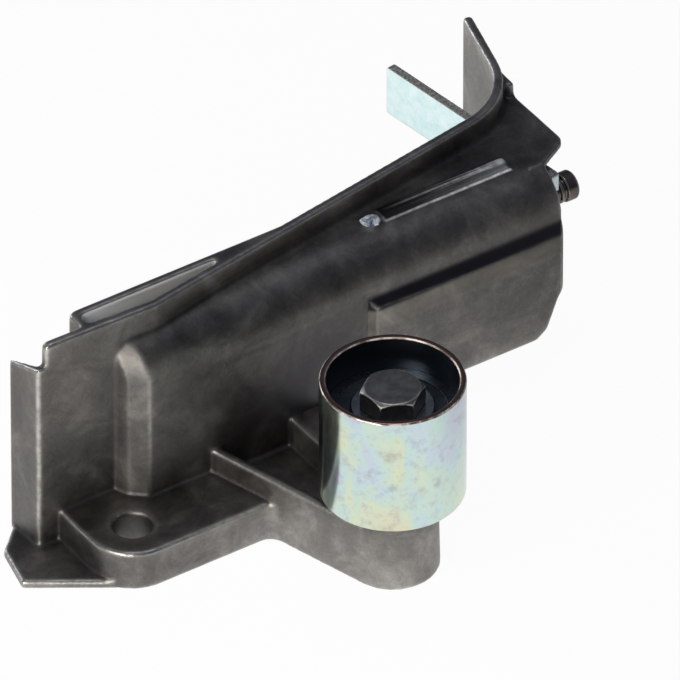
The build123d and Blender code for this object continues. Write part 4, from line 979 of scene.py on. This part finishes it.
# %% [markdown]
# ## Lamps
#
# Four soft lamps model the forms: a key from the front left, a weak one
# overhead, a low one that fills the walls, and one from behind that lights
# the pocket and the guard's back. Point lamps would throw hard shadows, and
# a sun can't be brought close enough to fall off along the part. All four
# are squares of light that the camera doesn't see.

# %% Lamps
SUBJECT = Vector((0.055, 0.01, 0.03))
lamps = {
    # name: direction from the part, distance m, size m, power W, colour
    "key_softbox": ((-0.85, -0.32, 0.55), 0.75, 0.35, 2.6, "#fffaf0"),
    "top_softbox": ((0.1, 0.1, 1.0), 0.9, 0.35, 0.8, "#fafaff"),
    "low_fill": ((-0.8, -0.6, 0.09), 0.9, 0.14, 2.5, "#fffdf8"),
    "back_softbox": ((-0.3, 0.9, 0.35), 0.9, 0.4, 1.2, "#f6f8ff"),
}
for name, (towards, distance, size, power, tint) in lamps.items():
    data = bpy.data.lights.new(name, "AREA")
    data.size = size
    data.energy = power
    data.color = linear(tint)[:3]
    lamp = link(name, data)
    arm = Vector(towards).normalized()
    lamp.location = SUBJECT + arm * distance
    lamp.rotation_euler = arm.to_track_quat("Z", "Y").to_euler()
    lamp.visible_camera = False
print(len(lamps), "lamps of", round(sum(row[3] for row in lamps.values()), 1), "W in all")

# %% [markdown]
# ## Camera
#
# The picture was taken from the front left and well above, from so far away
# that parallel edges stay parallel. An orthographic camera would show that
# too, but a very long lens six metres off does the same and keeps a true
# place in the room.

# %% Camera
PICTURE_WIDTH = 0.15232
CAMERA_DISTANCE = 6.0
FLOOR_POINT = Vector((0.0831, 0.0405, 0.0))
POINT_TO_AIM = 0.0466
to_camera = Vector((-0.441, -0.654, 0.614)).normalized()
picture_up = Vector((0.343, 0.509, 0.789)).normalized()
aim = FLOOR_POINT + to_camera * POINT_TO_AIM
right = picture_up.cross(to_camera).normalized()
picture_up = to_camera.cross(right)
camera_data = bpy.data.cameras.new("catalogue_camera")
camera_data.sensor_width = 36
camera_data.lens = camera_data.sensor_width * CAMERA_DISTANCE / PICTURE_WIDTH
camera_data.clip_start = 0.1
camera_data.clip_end = 40
camera = link("catalogue_camera", camera_data)
turn = Matrix((right, picture_up, to_camera)).transposed()
camera.matrix_world = Matrix.Translation(aim + to_camera * CAMERA_DISTANCE) @ turn.to_4x4()
bpy.context.scene.camera = camera
bpy.context.scene.view_settings.view_transform = "Standard"
print("lens", round(camera_data.lens), "mm at", CAMERA_DISTANCE, "m")
